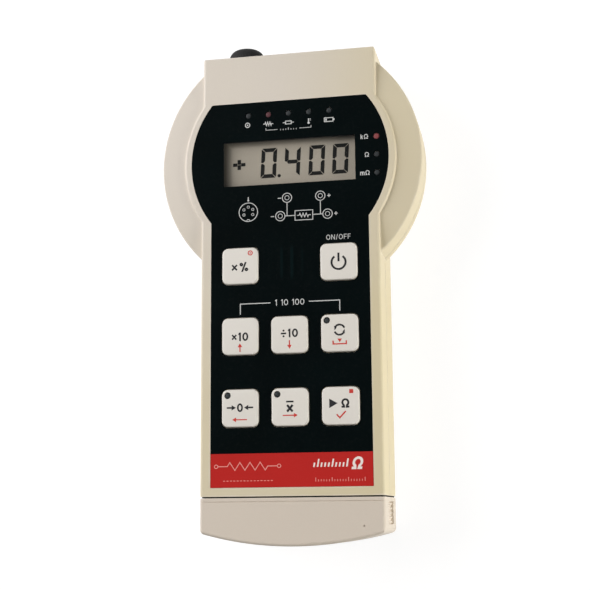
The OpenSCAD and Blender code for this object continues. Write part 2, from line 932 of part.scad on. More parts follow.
module battery_tray() {
    color(black_col) at_head() difference() {
        union() {
            translate([-tray_hw, -tray_end, tray_z]) cube([2 * tray_hw, tray_l, cell_z - tray_z]);
            for (y = [-tray_end, -tray_end + tray_l - tray_wall])
                translate([-tray_hw, y, tray_z]) cube([2 * tray_hw, tray_wall, tray_end_h]);
        }
        for (i = [0:cell_n - 1])
            translate([cell_x(i), -tray_end + tray_wall + tray_in_l, cell_z])
                rotate([90, 0, 0]) cylinder(r = cell_r + tray_fit, h = tray_in_l);
    }
}

// Cells lie in the tray with every second one turned round
module at_cell(i) {
    turned = i % 2;
    translate([cell_x(i), -tray_end + tray_wall + tray_in_l / 2, cell_z])
        rotate([turned ? 90 : -90, 0, 0])
            translate([0, 0, -tray_in_l / 2 + contact_t]) children();
}

module battery_cells() {
    color([0.3, 0.45, 0.35]) at_head()
        for (i = [0:cell_n - 1])
            at_cell(i) translate([0, 0, spring_l]) {
                cylinder(r = cell_r, h = cell_l);
                cylinder(r = tip_r, h = cell_l + tip_l);
            }
}

module battery_springs() {
    color(steel_col) at_head()
        for (i = [0:cell_n - 1])
            at_cell(i) difference() {
                cylinder(r1 = spring_r, r2 = spring_top_r, h = spring_l);
                cylinder(r1 = spring_r - spring_t, r2 = spring_top_r - spring_t, h = spring_l);
            }
}

module battery_contacts() {
    color(brass_col) at_head()
        for (i = [0:cell_n - 1], end = [0, 1])
            translate([cell_x(i), -tray_end + tray_wall + end * (tray_in_l - contact_t) + contact_t, cell_z])
                rotate([90, 0, 0]) cylinder(r = cell_r - tray_wall, h = contact_t);
}

module battery_leads() {
    color([0.7, 0.1, 0.1]) at_head()
        for (side = [-1, 1])
            translate([side * lead_x, main_top - main_l, main_z + board_t / 2])
                rotate([90, 0, 0]) cylinder(r = wire_r, h = main_top - main_l + tray_end - tray_l);
}

module socket_plate() {
    plate_hw = block_hw - wall + groove_d - fit;
    plate_z = wall - groove_d + fit;
    color([0.2, 0.2, 0.2]) at_head() difference() {
        translate([-plate_hw, plate_in, plate_z]) cube([2 * plate_hw, plate_t, body_d - 2 * plate_z]);
        for (i = [0:3])
            at_socket(i) translate([0, 0, plate_in - over])
                cylinder(r = barrel_r + hole_gap, h = plate_t + 2 * over);
        at_probe() translate([0, 0, plate_in - over])
            cylinder(r = probe_barrel_r + hole_gap, h = plate_t + 2 * over);
    }
}

// Turns a piece that is drawn along +Z so that it points along +Y at the socket or probe
module at_socket(i) {
    translate([socket_x + (i % 2 - 0.5) * socket_pitch_x, 0, socket_low_z + floor(i / 2) * socket_pitch_z])
        rotate([-90, 0, 0]) children();
}

module at_probe() {
    translate([-probe_x, 0, probe_z]) rotate([-90, 0, 0]) children();
}

// Insulating body of one test socket, with its well for a shrouded plug
module socket_body(i, c) {
    color(c) at_head() at_socket(i) difference() {
        union() {
            translate([0, 0, plate_out]) cylinder(r = socket_flange_r, h = socket_flange_t);
            translate([0, 0, barrel_end]) cylinder(r = barrel_r, h = plate_out - barrel_end);
        }
        translate([0, 0, barrel_end + back_t]) cylinder(r = shroud_r, h = well_l + over);
        translate([0, 0, barrel_end - over]) cylinder(r = tail_r + hole_gap, h = back_t + 2 * over);
    }
}

// Brass contact of one test socket, with its solder tail
module socket_contact(i) {
    tube_top = plate_out + socket_flange_t - tube_sink;
    color(brass_col) at_head() at_socket(i) difference() {
        union() {
            translate([0, 0, barrel_end + back_t]) cylinder(r = tube_r, h = tube_top - barrel_end - back_t);
            translate([0, 0, tail_end]) cylinder(r = tail_r, h = tail_len + back_t + over);
        }
        translate([0, 0, tube_top - tube_bore_l]) cylinder(r = plug_r, h = tube_bore_l + over);
    }
}

module socket_current_minus() { socket_body(0, [0.08, 0.08, 0.09]); }
module socket_current_plus() { socket_body(1, [0.7, 0.08, 0.07]); }
module socket_sense_minus() { socket_body(2, [0.08, 0.08, 0.09]); }
module socket_sense_plus() { socket_body(3, [0.7, 0.08, 0.07]); }
module contact_current_minus() { socket_contact(0); }
module contact_current_plus() { socket_contact(1); }
module contact_sense_minus() { socket_contact(2); }
module contact_sense_plus() { socket_contact(3); }

module socket_nuts() {
    color(steel_col) at_head()
        for (i = [0:3])
            at_socket(i) translate([0, 0, plate_in - nut_t]) difference() {
                cylinder(r = nut_r, h = nut_t, $fn = 6);
                translate([0, 0, -over]) cylinder(r = barrel_r + thread_gap, h = nut_t + 2 * over);
            }
}

// Wires from the solder tails down or up to the main board
module socket_leads() {
    color([0.75, 0.7, 0.2]) at_head()
        for (i = [0:3]) {
            row = floor(i / 2);
            z = socket_low_z + row * socket_pitch_z;
            low = row > 0 ? main_face : z + tail_r;
            high = row > 0 ? z - tail_r : main_z;
            translate([socket_x + (i % 2 - 0.5) * socket_pitch_x, tail_end + wire_in, low])
                cylinder(r = wire_r, h = high - low);
        }
}

module probe_socket() {
    color(black_col) at_head() at_probe() difference() {
        union() {
            translate([0, 0, plate_out]) cylinder(r = probe_flange_r, h = top_l - plate_out);
            translate([0, 0, plate_out - probe_barrel_l]) cylinder(r = probe_barrel_r, h = probe_barrel_l);
        }
        translate([0, 0, plate_out - probe_barrel_l - over])
            cylinder(r = probe_r, h = probe_barrel_l + top_l);
    }
}

module probe_insert() {
    color([0.15, 0.15, 0.16]) at_head() at_probe() difference() {
        translate([0, 0, top_l - probe_well - insert_l]) cylinder(r = probe_r - thread_gap, h = insert_l);
        for (i = [0:pin_n - 1])
            rotate((i - (pin_n - 1) / 2) * pin_step - 90) translate([pin_ring_r, 0, 0])
                cylinder(r = pin_r + thread_gap, h = nose_l);
        translate([0, probe_r, 0]) cylinder(r = key_slot_r, h = nose_l);
    }
}

module probe_contacts() {
    color(brass_col) at_head() at_probe()
        for (i = [0:pin_n - 1])
            rotate((i - (pin_n - 1) / 2) * pin_step - 90)
                translate([pin_ring_r, 0, top_l - probe_well - insert_l - insert_t]) difference() {
                    cylinder(r = pin_r, h = insert_l + insert_t);
                    translate([0, 0, insert_t]) cylinder(r = pin_bore_r, h = insert_l + over);
                }
}

module probe_nut() {
    color(steel_col) at_head() at_probe() translate([0, 0, plate_in - probe_nut_t]) difference() {
        cylinder(r = probe_nut_r, h = probe_nut_t);
        translate([0, 0, -over]) cylinder(r = probe_barrel_r + thread_gap, h = probe_nut_t + 2 * over);
    }
}

module probe_dust_cap() {
    color(black_col) at_head() at_probe() {
        translate([0, 0, top_l - spigot_l]) cylinder(r = probe_r - spigot_gap, h = spigot_l + over);
        translate([0, 0, top_l]) rotate_extrude() {
            square([dust_r, dust_l - dust_nose]);
            square([dust_r - dust_nose, dust_l]);
            translate([dust_r - dust_nose, dust_l - dust_nose])
                intersection() {
                    circle(r = dust_nose);
                    square(dust_nose);
                }
        }
    }
}

module case_screws() {
    color(steel_col) at_head()
        for (p = case_posts)
            translate([p[0], p[1], screw_sink]) difference() {
                union() {
                    cylinder(r = screw_head_r, h = screw_head_t);
                    cylinder(r = screw_r, h = screw_l);
                }
                screw_cross(-over, over + cross_d);
            }
}

front_shell();
rear_shell();
end_cap();
cap_seal();
front_panel();
display_window();
display_frame();
display_glass();
contact_strips();
key_coefficient();
key_power();
key_up();
key_down();
key_auto();
key_zero();
key_average();
key_measure();
key_switches();
key_domes();
mode_lamps();
unit_lamps();
key_lamps();
front_board();
front_board_screws();
main_board();
main_board_screws();
board_header();
processor_chip();
converter_chip();
range_relays();
current_shunt();
heat_sink();
output_transistor();
capacitors();
fuse();
fuse_clips();
battery_tray();
battery_cells();
battery_springs();
battery_contacts();
battery_leads();
socket_plate();
socket_sense_minus();
socket_sense_plus();
socket_current_minus();
socket_current_plus();
contact_sense_minus();
contact_sense_plus();
contact_current_minus();
contact_current_plus();
socket_nuts();
socket_leads();
probe_socket();
probe_insert();
probe_contacts();
probe_nut();
probe_dust_cap();
case_screws();
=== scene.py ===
"""Looks of the micro ohmmeter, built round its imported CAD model."""
import math

import bmesh
import bpy
from mathutils import Matrix, Vector
from mathutils.geometry import delaunay_2d_cdt


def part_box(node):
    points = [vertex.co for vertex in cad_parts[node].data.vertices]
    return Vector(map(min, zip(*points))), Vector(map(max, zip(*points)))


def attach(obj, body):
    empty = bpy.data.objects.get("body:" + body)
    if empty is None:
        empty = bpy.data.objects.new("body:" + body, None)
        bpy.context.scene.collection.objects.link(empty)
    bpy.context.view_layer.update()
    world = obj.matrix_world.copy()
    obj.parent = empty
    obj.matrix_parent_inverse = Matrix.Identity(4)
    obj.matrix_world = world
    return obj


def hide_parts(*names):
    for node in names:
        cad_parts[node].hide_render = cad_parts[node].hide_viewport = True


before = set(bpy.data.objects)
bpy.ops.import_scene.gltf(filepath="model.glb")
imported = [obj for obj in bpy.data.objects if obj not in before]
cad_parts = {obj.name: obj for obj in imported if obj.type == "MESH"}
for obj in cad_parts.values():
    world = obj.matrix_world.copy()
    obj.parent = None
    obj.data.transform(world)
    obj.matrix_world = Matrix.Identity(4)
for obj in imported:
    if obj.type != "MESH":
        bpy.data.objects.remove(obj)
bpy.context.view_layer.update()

bl_info = {
    "name": "Micro ohmmeter looks",
    "version": (1, 0, 0),
    "blender": (4, 5, 0),
    "location": "3D View > Sidebar > Ohmmeter",
    "description": "Dresses the packed micro ohmmeter with printing, keys, lamps and finishes",
    "category": "Object",
}

MM = 0.001

# Places and heights in millimetres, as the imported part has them. Places along and
# across are counted from the middle of the round head, heights from the back.
HEAD_Y = 51.0
DECK_TOP = 36.0
KEY_TOP = 37.0
GLASS_TOP = 32.6
KEY_FLANGE = (32.7, 33.7)
KEY_STEM = (29.4, 32.8)
LAMP_FOOT = 28.3
PANEL_LAMP_TOP = 35.9
KEY_LAMP_TOP = 36.9
BAND_EDGE = -119.6
PROBE_SOCKET = (-21.0, 46.3, 21.0)

KEY_PLACES = {
    "key_coefficient": (-20.32, -43.8),
    "key_power": (20.32, -43.8),
    "key_up": (-20.32, -72.72),
    "key_down": (0.0, -72.72),
    "key_auto": (20.32, -72.72),
    "key_zero": (-20.32, -101.64),
    "key_average": (0.0, -101.64),
    "key_measure": (20.32, -101.64),
}
# Three keys hold a lamp, at this place from the middle of the key.
LIT_KEYS = ("key_auto", "key_zero", "key_average")
KEY_LAMP = (-5.13, 5.13)

# One row of lamps above the display and one column on its right; a lamp of the row looks
# dull red and one of the column is lit.
MODE_LAMPS = (-17.0, -8.5, 0.0, 8.5, 17.0)
MODE_LAMP_ROW = 20.0
DULL_RED_LAMP = 2
UNIT_LAMPS = (7.62, 0.0, -7.62)
UNIT_LAMP_COLUMN = 36.4
RED_LAMP = 1

# How thick the signs on the keys and the bars of the display are.
KEY_INK = 0.03
SEGMENT_INK = 0.03

# Points of a mesh that lie nearer than this, in metres, are made one.
NEAR = 0.0000005


def srgb(red, green, blue):
    """A screen colour, 0 to 255, as the linear colour that shaders use."""
    out = []
    for part in (red, green, blue):
        part = part / 255.0
        if part <= 0.04045:
            out.append(part / 12.92)
        else:
            out.append(((part + 0.055) / 1.055) ** 2.4)
    return tuple(out)


def colour_prop(name, description, default):
    """A colour that the user can change."""
    return bpy.props.FloatVectorProperty(
        name=name, description=description, default=default,
        subtype="COLOR", size=3, min=0.0, max=1.0)


def length_prop(name, description, default):
    """A length in metres that the user can change."""
    return bpy.props.FloatProperty(
        name=name, description=description, default=default,
        min=0.0, unit="LENGTH", precision=5)


class OhmmeterColours(bpy.types.PropertyGroup):
    """Colours of the instrument's finishes."""
    case: colour_prop("Case", "Moulded ivory case plastic", srgb(216, 208, 196))
    warm_cast: colour_prop("Warm cast case", "Case plastic with a painted warm light tint", srgb(213, 201, 166))
    cap: colour_prop("End cap", "Moulded battery end cap", srgb(214, 203, 189))
    film: colour_prop("Panel film", "Black printed panel film", srgb(3, 9, 10))
    band: colour_prop("Band", "Red band at the foot of the panel", srgb(190, 45, 42))
    pale_ink: colour_prop("Pale ink", "Printing on the black film", srgb(205, 207, 206))
    band_ink: colour_prop("Band ink", "Thin printing on the red band", srgb(232, 150, 142))
    bold_ink: colour_prop("Bold band ink", "Bold printing on the red band", srgb(243, 232, 226))
    key: colour_prop("Keys", "Key cap plastic", srgb(226, 222, 214))
    key_ink: colour_prop("Key ink", "Black signs on the keys", srgb(16, 16, 19))
    red_ink: colour_prop("Red key ink", "Red second signs on the keys", srgb(200, 62, 54))
    lcd: colour_prop("Display", "Reflective back of the display", srgb(164, 157, 144))
    segments: colour_prop("Segments", "Dark display segments", srgb(8, 9, 8))
    lamp_off: colour_prop("Lamp off", "Smoked lens of an unlit lamp", srgb(47, 51, 53))
    lamp_on: colour_prop("Lamp on", "Lens of a lit red lamp", srgb(122, 62, 64))


class OhmmeterSizes(bpy.types.PropertyGroup):
    """Sizes of the printing, the key caps and the lamps."""
    key_width: length_prop("Key width", "Width of a square key cap", 0.01495)
    key_corner: length_prop("Key corner", "Corner radius of a key cap", 0.0025)
    key_edge: length_prop("Key edge", "Rounding of a key cap's top edge", 0.00055)
    sign_height: length_prop("Sign height", "Height of the black signs on the keys", 0.0032)
    label_height: length_prop("Label height", "Height of the small panel labels", 0.0022)
    digit_height: length_prop("Digit height", "Height of the display digits", 0.0127)
    ink: length_prop("Ink", "Thickness of the printing on the panel", 0.00002)
    lamp_radius: length_prop("Lamp radius", "Radius of a panel lamp", 0.0012)
    key_lamp_radius: length_prop("Key lamp radius", "Radius of a lamp in a key", 0.00105)


class OhmmeterStudio(bpy.types.PropertyGroup):
    """Camera and lamps of the studio."""
    camera_place: bpy.props.FloatVectorProperty(
        name="Camera place", description="Where the camera stands",
        default=(0.09861, -0.09356, 0.51440), size=3, subtype="TRANSLATION")
    camera_turn: bpy.props.FloatVectorProperty(
        name="Camera turn", description="Camera turns about X, then Y, then Z",
        default=(0.1818, 0.1956, -0.0437), size=3, subtype="EULER")
    lens: bpy.props.FloatProperty(
        name="Lens", description="Focal length of the camera in millimetres",
        default=75.23, min=10.0, unit="CAMERA")
    left_power: bpy.props.FloatProperty(
        name="Left lamp", description="Power of the large soft lamp on the left",
        default=16.2, min=0.0, unit="POWER")
    right_power: bpy.props.FloatProperty(
        name="Right lamp", description="Power of the low warm lamp on the right",
        default=14.6, min=0.0, unit="POWER")
    upper_power: bpy.props.FloatProperty(
        name="Upper lamp", description="Power of the soft lamp beyond the socket end",
        default=2.2, min=0.0, unit="POWER")
    sky_level: bpy.props.FloatProperty(
        name="Sky level", description="Strength of the plain light from all round",
        default=0.06, min=0.0)


def colours():
    """The colours set in the sidebar."""
    return bpy.context.scene.ohmmeter_colours


def sizes():
    """The sizes set in the sidebar."""
    return bpy.context.scene.ohmmeter_sizes


def studio():
    """The camera and lamp settings of the sidebar."""
    return bpy.context.scene.ohmmeter_studio


# ---------------------------------------------------------------- node helpers

def feed(tree, socket, value):
    """Links a socket to another, or sets its plain value."""
    if isinstance(value, bpy.types.NodeSocket):
        tree.links.new(value, socket)
    else:
        socket.default_value = value


def add(tree, kind, values=None, **settings):
    """A new shader node with its settings and its input values."""
    node = tree.nodes.new(kind)
    for name, value in settings.items():
        setattr(node, name, value)
    for name, value in (values or {}).items():
        feed(tree, node.inputs[name], value)
    return node


def sum_of(tree, operation, first, second=None, third=None, clamp=False):
    """One Math node; returns its output."""
    node = tree.nodes.new("ShaderNodeMath")
    node.operation = operation
    node.use_clamp = clamp
    for place, value in enumerate((first, second, third)):
        if value is not None:
            feed(tree, node.inputs[place], value)
    return node.outputs[0]


def mixed(tree, share, first, second, blend="MIX"):
    """One colour Mix node; returns its output."""
    node = tree.nodes.new("ShaderNodeMix")
    node.data_type = "RGBA"
    node.blend_type = blend
    feed(tree, node.inputs[0], share)
    feed(tree, node.inputs[6], first)
    feed(tree, node.inputs[7], second)
    return node.outputs[2]


def spread(tree, value, low, high, out_low, out_high, smooth=False):
    """Maps a value from one span to another."""
    node = tree.nodes.new("ShaderNodeMapRange")
    if smooth:
        node.interpolation_type = "SMOOTHSTEP"
    for place, number in enumerate((value, low, high, out_low, out_high)):
        feed(tree, node.inputs[place], number)
    return node.outputs[0]


def beyond(tree, value, low, high):
    """One where the value lies outside two limits, else nought."""
    return sum_of(tree, "ADD", sum_of(tree, "LESS_THAN", value, low),
                  sum_of(tree, "GREATER_THAN", value, high), clamp=True)


def rgba(colour, share=1.0):
    """A colour, lightened or darkened by a share, with its alpha."""
    return (colour[0] * share, colour[1] * share, colour[2] * share, 1.0)


def new_group(name, takes, gives):
    """An empty shader node group with named inputs and outputs."""
    group = bpy.data.node_groups.new(name, "ShaderNodeTree")
    for label, kind, value in takes:
        socket = group.interface.new_socket(name=label, in_out="INPUT", socket_type=kind)
        if value is not None:
            socket.default_value = value
    for label, kind in gives:
        group.interface.new_socket(name=label, in_out="OUTPUT", socket_type=kind)
    return group, group.nodes.new("NodeGroupInput"), group.nodes.new("NodeGroupOutput")


def use_group(tree, maker, place, **values):
    """Adds a shared node group at some coordinates; returns its outputs."""
    node = tree.nodes.new("ShaderNodeGroup")
    node.node_tree = maker()
    feed(tree, node.inputs["Place"], place)
    for name, value in values.items():
        feed(tree, node.inputs[name], value)
    return node.outputs


def grain_group():
    """Fine spark-eroded grain of a moulding."""
    if "Moulded grain" in bpy.data.node_groups:
        return bpy.data.node_groups["Moulded grain"]
    group, takes, gives = new_group(
        "Moulded grain",
        [("Place", "NodeSocketVector", None), ("Fineness", "NodeSocketFloat", 2600.0)],
        [("Height", "NodeSocketFloat"), ("Tone", "NodeSocketFloat")])
    pits = add(group, "ShaderNodeTexVoronoi",
               {"Vector": takes.outputs["Place"], "Scale": takes.outputs["Fineness"]},
               feature="SMOOTH_F1")
    cloud = add(group, "ShaderNodeTexNoise",
                {"Vector": takes.outputs["Place"], "Scale": takes.outputs["Fineness"],
                 "Detail": 3.0, "Roughness": 0.6})
    both = sum_of(group, "MULTIPLY_ADD", pits.outputs["Distance"], 0.5, cloud.outputs["Fac"])
    feed(group, gives.inputs["Height"], both)
    feed(group, gives.inputs["Tone"], spread(group, cloud.outputs["Fac"], 0.3, 0.7, 0.0, 1.0))
    return group


def drift_group():
    """Slow drift of shade over a piece, with a few faint handling marks."""
    if "Shade drift" in bpy.data.node_groups:
        return bpy.data.node_groups["Shade drift"]
    group, takes, gives = new_group(
        "Shade drift",
        [("Place", "NodeSocketVector", None), ("Fineness", "NodeSocketFloat", 22.0)],
        [("Drift", "NodeSocketFloat"), ("Marks", "NodeSocketFloat")])
    slow = add(group, "ShaderNodeTexNoise",
               {"Vector": takes.outputs["Place"], "Scale": takes.outputs["Fineness"],
                "Detail": 4.0, "Roughness": 0.55})
    fine = sum_of(group, "MULTIPLY", takes.outputs["Fineness"], 9.0)
    marks = add(group, "ShaderNodeTexNoise",
                {"Vector": takes.outputs["Place"], "Scale": fine,
                 "Detail": 6.0, "Roughness": 0.7, "Distortion": 0.6})
    feed(group, gives.inputs["Drift"],
         spread(group, slow.outputs["Fac"], 0.32, 0.68, 0.0, 1.0))
    feed(group, gives.inputs["Marks"],
         spread(group, marks.outputs["Fac"], 0.60, 0.78, 0.0, 1.0, True))
    return group


def edge_group():
    """Mask of the outer edges, where handling rubs a piece and where a highlight is painted."""
    if "Edge rub and highlight" in bpy.data.node_groups:
        return bpy.data.node_groups["Edge rub and highlight"]
    group, takes, gives = new_group(
        "Edge rub and highlight",
        [("Place", "NodeSocketVector", None), ("Reach", "NodeSocketFloat", 0.0006),
         ("Broken", "NodeSocketFloat", 160.0)],
        [("Mask", "NodeSocketFloat")])
    round_edge = add(group, "ShaderNodeBevel", {"Radius": takes.outputs["Reach"]}, samples=4)
    flat = add(group, "ShaderNodeNewGeometry")
    aligned = add(group, "ShaderNodeVectorMath", operation="DOT_PRODUCT")
    feed(group, aligned.inputs[0], round_edge.outputs["Normal"])
    feed(group, aligned.inputs[1], flat.outputs["Normal"])
    bend = spread(group, aligned.outputs["Value"], 0.995, 0.86, 0.0, 1.0, True)
    patches = add(group, "ShaderNodeTexNoise",
                  {"Vector": takes.outputs["Place"], "Scale": takes.outputs["Broken"],
                   "Detail": 3.0})
    broken = spread(group, patches.outputs["Fac"], 0.38, 0.62, 0.35, 1.0)
    feed(group, gives.inputs["Mask"], sum_of(group, "MULTIPLY", bend, broken))
    return group


def dust_group():
    """Thin dust that settles on faces that look up."""
    if "Settled dust" in bpy.data.node_groups:
        return bpy.data.node_groups["Settled dust"]
    group, takes, gives = new_group(
        "Settled dust",
        [("Place", "NodeSocketVector", None), ("Amount", "NodeSocketFloat", 0.2)],
        [("Mask", "NodeSocketFloat")])
    flat = add(group, "ShaderNodeNewGeometry")
    parts = add(group, "ShaderNodeSeparateXYZ", {"Vector": flat.outputs["Normal"]})
    up = spread(group, parts.outputs["Z"], 0.3, 1.0, 0.0, 1.0)
    specks = add(group, "ShaderNodeTexNoise",
                 {"Vector": takes.outputs["Place"], "Scale": 900.0, "Detail": 5.0,
                  "Roughness": 0.75})
    seen = spread(group, specks.outputs["Fac"], 0.48, 0.74, 0.0, 1.0, True)
    both = sum_of(group, "MULTIPLY", up, seen)
    feed(group, gives.inputs["Mask"],
         sum_of(group, "MULTIPLY", both, takes.outputs["Amount"]))
    return group


def streak_group():
    """Fine turning or brushing streaks of a metal part, drawn out along one axis."""
    if "Metal streaks" in bpy.data.node_groups:
        return bpy.data.node_groups["Metal streaks"]
    group, takes, gives = new_group(
        "Metal streaks",
        [("Place", "NodeSocketVector", None), ("Stretch", "NodeSocketVector", (1.0, 1.0, 1.0))],
        [("Height", "NodeSocketFloat"), ("Tone", "NodeSocketFloat")])
    drawn = add(group, "ShaderNodeVectorMath", operation="MULTIPLY")
    feed(group, drawn.inputs[0], takes.outputs["Place"])
    feed(group, drawn.inputs[1], takes.outputs["Stretch"])
    lines = add(group, "ShaderNodeTexNoise",
                {"Vector": drawn.outputs["Vector"], "Scale": 1500.0, "Detail": 5.0,
                 "Roughness": 0.65})
    feed(group, gives.inputs["Height"], lines.outputs["Fac"])
    feed(group, gives.inputs["Tone"],
         spread(group, lines.outputs["Fac"], 0.3, 0.7, 0.0, 1.0))
    return group


# ------------------------------------------------------------------- finishes

def new_finish(name):
    """An empty material with one Principled shader, and its object coordinates."""
    material = bpy.data.materials.new(name)
    material.use_nodes = True
    tree = material.node_tree
    tree.nodes.clear()
    out = tree.nodes.new("ShaderNodeOutputMaterial")
    shader = tree.nodes.new("ShaderNodeBsdfPrincipled")
    tree.links.new(shader.outputs["BSDF"], out.inputs["Surface"])
    place = tree.nodes.new("ShaderNodeTexCoord").outputs["Object"]
    return material, tree, shader, place


def surface(tree, shader, paint, rough, specular=None):
    """Gives the shader its colour, its roughness and how much it shines."""
    feed(tree, shader.inputs["Base Color"], paint)
    feed(tree, shader.inputs["Roughness"], rough)
    if specular is not None:
        shader.inputs["Specular IOR Level"].default_value = specular


def bump(tree, shader, height, strength, depth):
    """Gives the shader fine relief of a depth in metres."""
    node = add(tree, "ShaderNodeBump",
               {"Height": height, "Strength": strength, "Distance": depth})
    tree.links.new(node.outputs["Normal"], shader.inputs["Normal"])


def moulded(name, colour, rough, specular=0.4, fineness=2600.0, depth=0.00002,
            rub_and_highlight=0.35, rub_and_highlight_colour=None, reach=0.0005, dust=0.12, drift=0.05, warm_cast=None):
    """Moulded plastic: fine grain, slow drift of shade, edges painted lighter as rub wear and
    painted highlight, dust, and a painted warm light tint where a warm colour is given.
    """
    material, tree, shader, place = new_finish(name)
    grain = use_group(tree, grain_group, place, Fineness=fineness)
    shade = use_group(tree, drift_group, place, Fineness=22.0)
    edge = use_group(tree, edge_group, place, Reach=reach)
    fall = use_group(tree, dust_group, place, Amount=dust)
    paint = mixed(tree, shade["Drift"], rgba(colour, 1.0 - drift), rgba(colour, 1.0 + drift))
    pits = sum_of(tree, "MULTIPLY", grain["Tone"], 0.35)
    paint = mixed(tree, pits, paint, rgba(colour, 0.93))
    if warm_cast:
        # painted warm light: the case is tinted yellower towards its right side and lower part, as
        # if lit by a warm lamp from the lower right
        paint = mixed(tree, warm_cast_share(tree, place, shade["Drift"]), paint, rgba(warm_cast))
    # edges painted lighter: rub wear, and on the case and end cap a painted highlight along the
    # edges
    rub_and_highlight_paint = rub_and_highlight_colour or tuple(min(1.0, part * 1.12 + 0.02) for part in colour)
    paint = mixed(tree, sum_of(tree, "MULTIPLY", edge["Mask"], rub_and_highlight), paint, rgba(rub_and_highlight_paint))
    paint = mixed(tree, fall["Mask"], paint, (0.46, 0.43, 0.39, 1.0))
    gloss = spread(tree, grain["Tone"], 0.0, 1.0, rough - 0.05, rough + 0.07)
    gloss = sum_of(tree, "MULTIPLY_ADD", shade["Marks"], -0.08, gloss)
    surface(tree, shader, paint, gloss, specular)
    bump(tree, shader, grain["Height"], 0.5, depth)
    return material


def warm_cast_share(tree, place, drift):
    """How much painted warm light tints the case: most on its right side and lower part."""
    parts = add(tree, "ShaderNodeSeparateXYZ", {"Vector": place})
    right = spread(tree, parts.outputs["X"], -0.01, 0.052, 0.0, 0.75, True)
    lower = spread(tree, parts.outputs["Y"], 0.05, -0.07, 0.0, 0.8, True)
    both = sum_of(tree, "ADD", right, lower, clamp=True)
    return sum_of(tree, "MULTIPLY", both, spread(tree, drift, 0.0, 1.0, 0.85, 1.0))


def case_finish(name, colour, warm_cast):
    """Ivory case plastic: fine grain, edges painted lighter as a painted highlight with some rub
    wear, and a painted warm light tint where a warm colour is given.
    """
    return moulded(name, colour, 0.5, specular=0.3, drift=0.012, dust=0.03, rub_and_highlight=0.9,
                   reach=0.0013, depth=0.000012, warm_cast=warm_cast)


def panel_finish():
    """Black film with its red band, and faint ripples between the two upper keys whose crests
    carry a painted highlight.
    """
    material, tree, shader, place = new_finish("panel_film")
    tint = colours()
    parts = add(tree, "ShaderNodeSeparateXYZ", {"Vector": place})
    foot = (HEAD_Y + BAND_EDGE) * MM
    grain = use_group(tree, grain_group, place, Fineness=3800.0)
    shade = use_group(tree, drift_group, place, Fineness=30.0)
    fall = use_group(tree, dust_group, place, Amount=0.008)
    black = mixed(tree, shade["Drift"], rgba(tint.film, 0.8), rgba(tint.film, 1.25))
    red = mixed(tree, shade["Drift"], rgba(tint.band, 0.97), rgba(tint.band, 1.04))
    red = mixed(tree, sum_of(tree, "MULTIPLY", grain["Tone"], 0.3), red, rgba(tint.band, 0.9))
    in_band = sum_of(tree, "LESS_THAN", parts.outputs["Y"], foot)
    on_top = sum_of(tree, "GREATER_THAN", parts.outputs["Z"], (DECK_TOP - 0.03) * MM)
    in_band = sum_of(tree, "MULTIPLY", in_band, on_top)
    paint = mixed(tree, in_band, black, red)
    paint = mixed(tree, fall["Mask"], paint, (0.35, 0.35, 0.34, 1.0))
    # the ripples fade towards both sides and at both ends
    half_wide, low, high, fade, per_metre = 0.011, -0.002, 0.012, 0.006, 1450.0
    across = spread(tree, parts.outputs["X"], -half_wide, half_wide, 0.0, 1.0)
    middle = sum_of(tree, "PINGPONG", sum_of(tree, "MULTIPLY", across, 2.0), 1.0)
    along_low = spread(tree, parts.outputs["Y"], low, low + fade, 0.0, 1.0, True)
    along_high = spread(tree, parts.outputs["Y"], high, high + fade, 1.0, 0.0, True)
    inside = sum_of(tree, "MULTIPLY", sum_of(tree, "MULTIPLY", along_low, along_high), middle)
    ripple = sum_of(tree, "SINE", sum_of(tree, "MULTIPLY", parts.outputs["X"], per_metre))
    ripple = sum_of(tree, "MULTIPLY", ripple, inside)
    height = sum_of(tree, "MULTIPLY_ADD", ripple, 4.0, grain["Height"])
    bump(tree, shader, height, 0.5, 0.00002)
    # painted highlight: the ripple crests are painted lighter, as the sheen that the ripples catch
    ripple_highlight = spread(tree, ripple, 0.2, 0.9, 0.0, 0.7, True)
    paint = mixed(tree, ripple_highlight, paint, rgba(tint.film, 3.4))
    surface(tree, shader, paint, spread(tree, grain["Tone"], 0.0, 1.0, 0.30, 0.38), 0.02)
    return material


def ink_finish(name, colour, specular=0.25):
    """Screen-printed ink with a slightly uneven coat."""
    material, tree, shader, place = new_finish(name)
    cover = add(tree, "ShaderNodeTexNoise",
                {"Vector": place, "Scale": 5200.0, "Detail": 3.0, "Roughness": 0.6})
    slow = use_group(tree, drift_group, place, Fineness=60.0)
    paint = mixed(tree, spread(tree, cover.outputs["Fac"], 0.35, 0.65, 0.0, 1.0),
                  rgba(colour, 0.93), rgba(colour, 1.03))
    paint = mixed(tree, sum_of(tree, "MULTIPLY", slow["Marks"], 0.15), paint, rgba(colour, 0.8))
    surface(tree, shader, paint, spread(tree, cover.outputs["Fac"], 0.3, 0.7, 0.42, 0.58),
            specular)
    bump(tree, shader, cover.outputs["Fac"], 0.3, 0.00001)
    return material


def clear_finish(name, colour, cover, rough=0.08, specular=0.35):
    """Clear plastic or glass that lets the parts behind it show, with faint dust."""
    material, tree, shader, place = new_finish(name)
    fall = use_group(tree, dust_group, place, Amount=0.05)
    scratch = use_group(tree, streak_group, place, Stretch=(0.05, 1.2, 1.0))
    shade = mixed(tree, fall["Mask"], rgba(colour), (0.7, 0.68, 0.64, 1.0))
    surface(tree, shader, shade, spread(tree, scratch["Tone"], 0.55, 1.0, rough, rough + 0.1),
            specular)
    feed(tree, shader.inputs["Alpha"],
         sum_of(tree, "MULTIPLY_ADD", fall["Mask"], 0.25, cover))
    return material


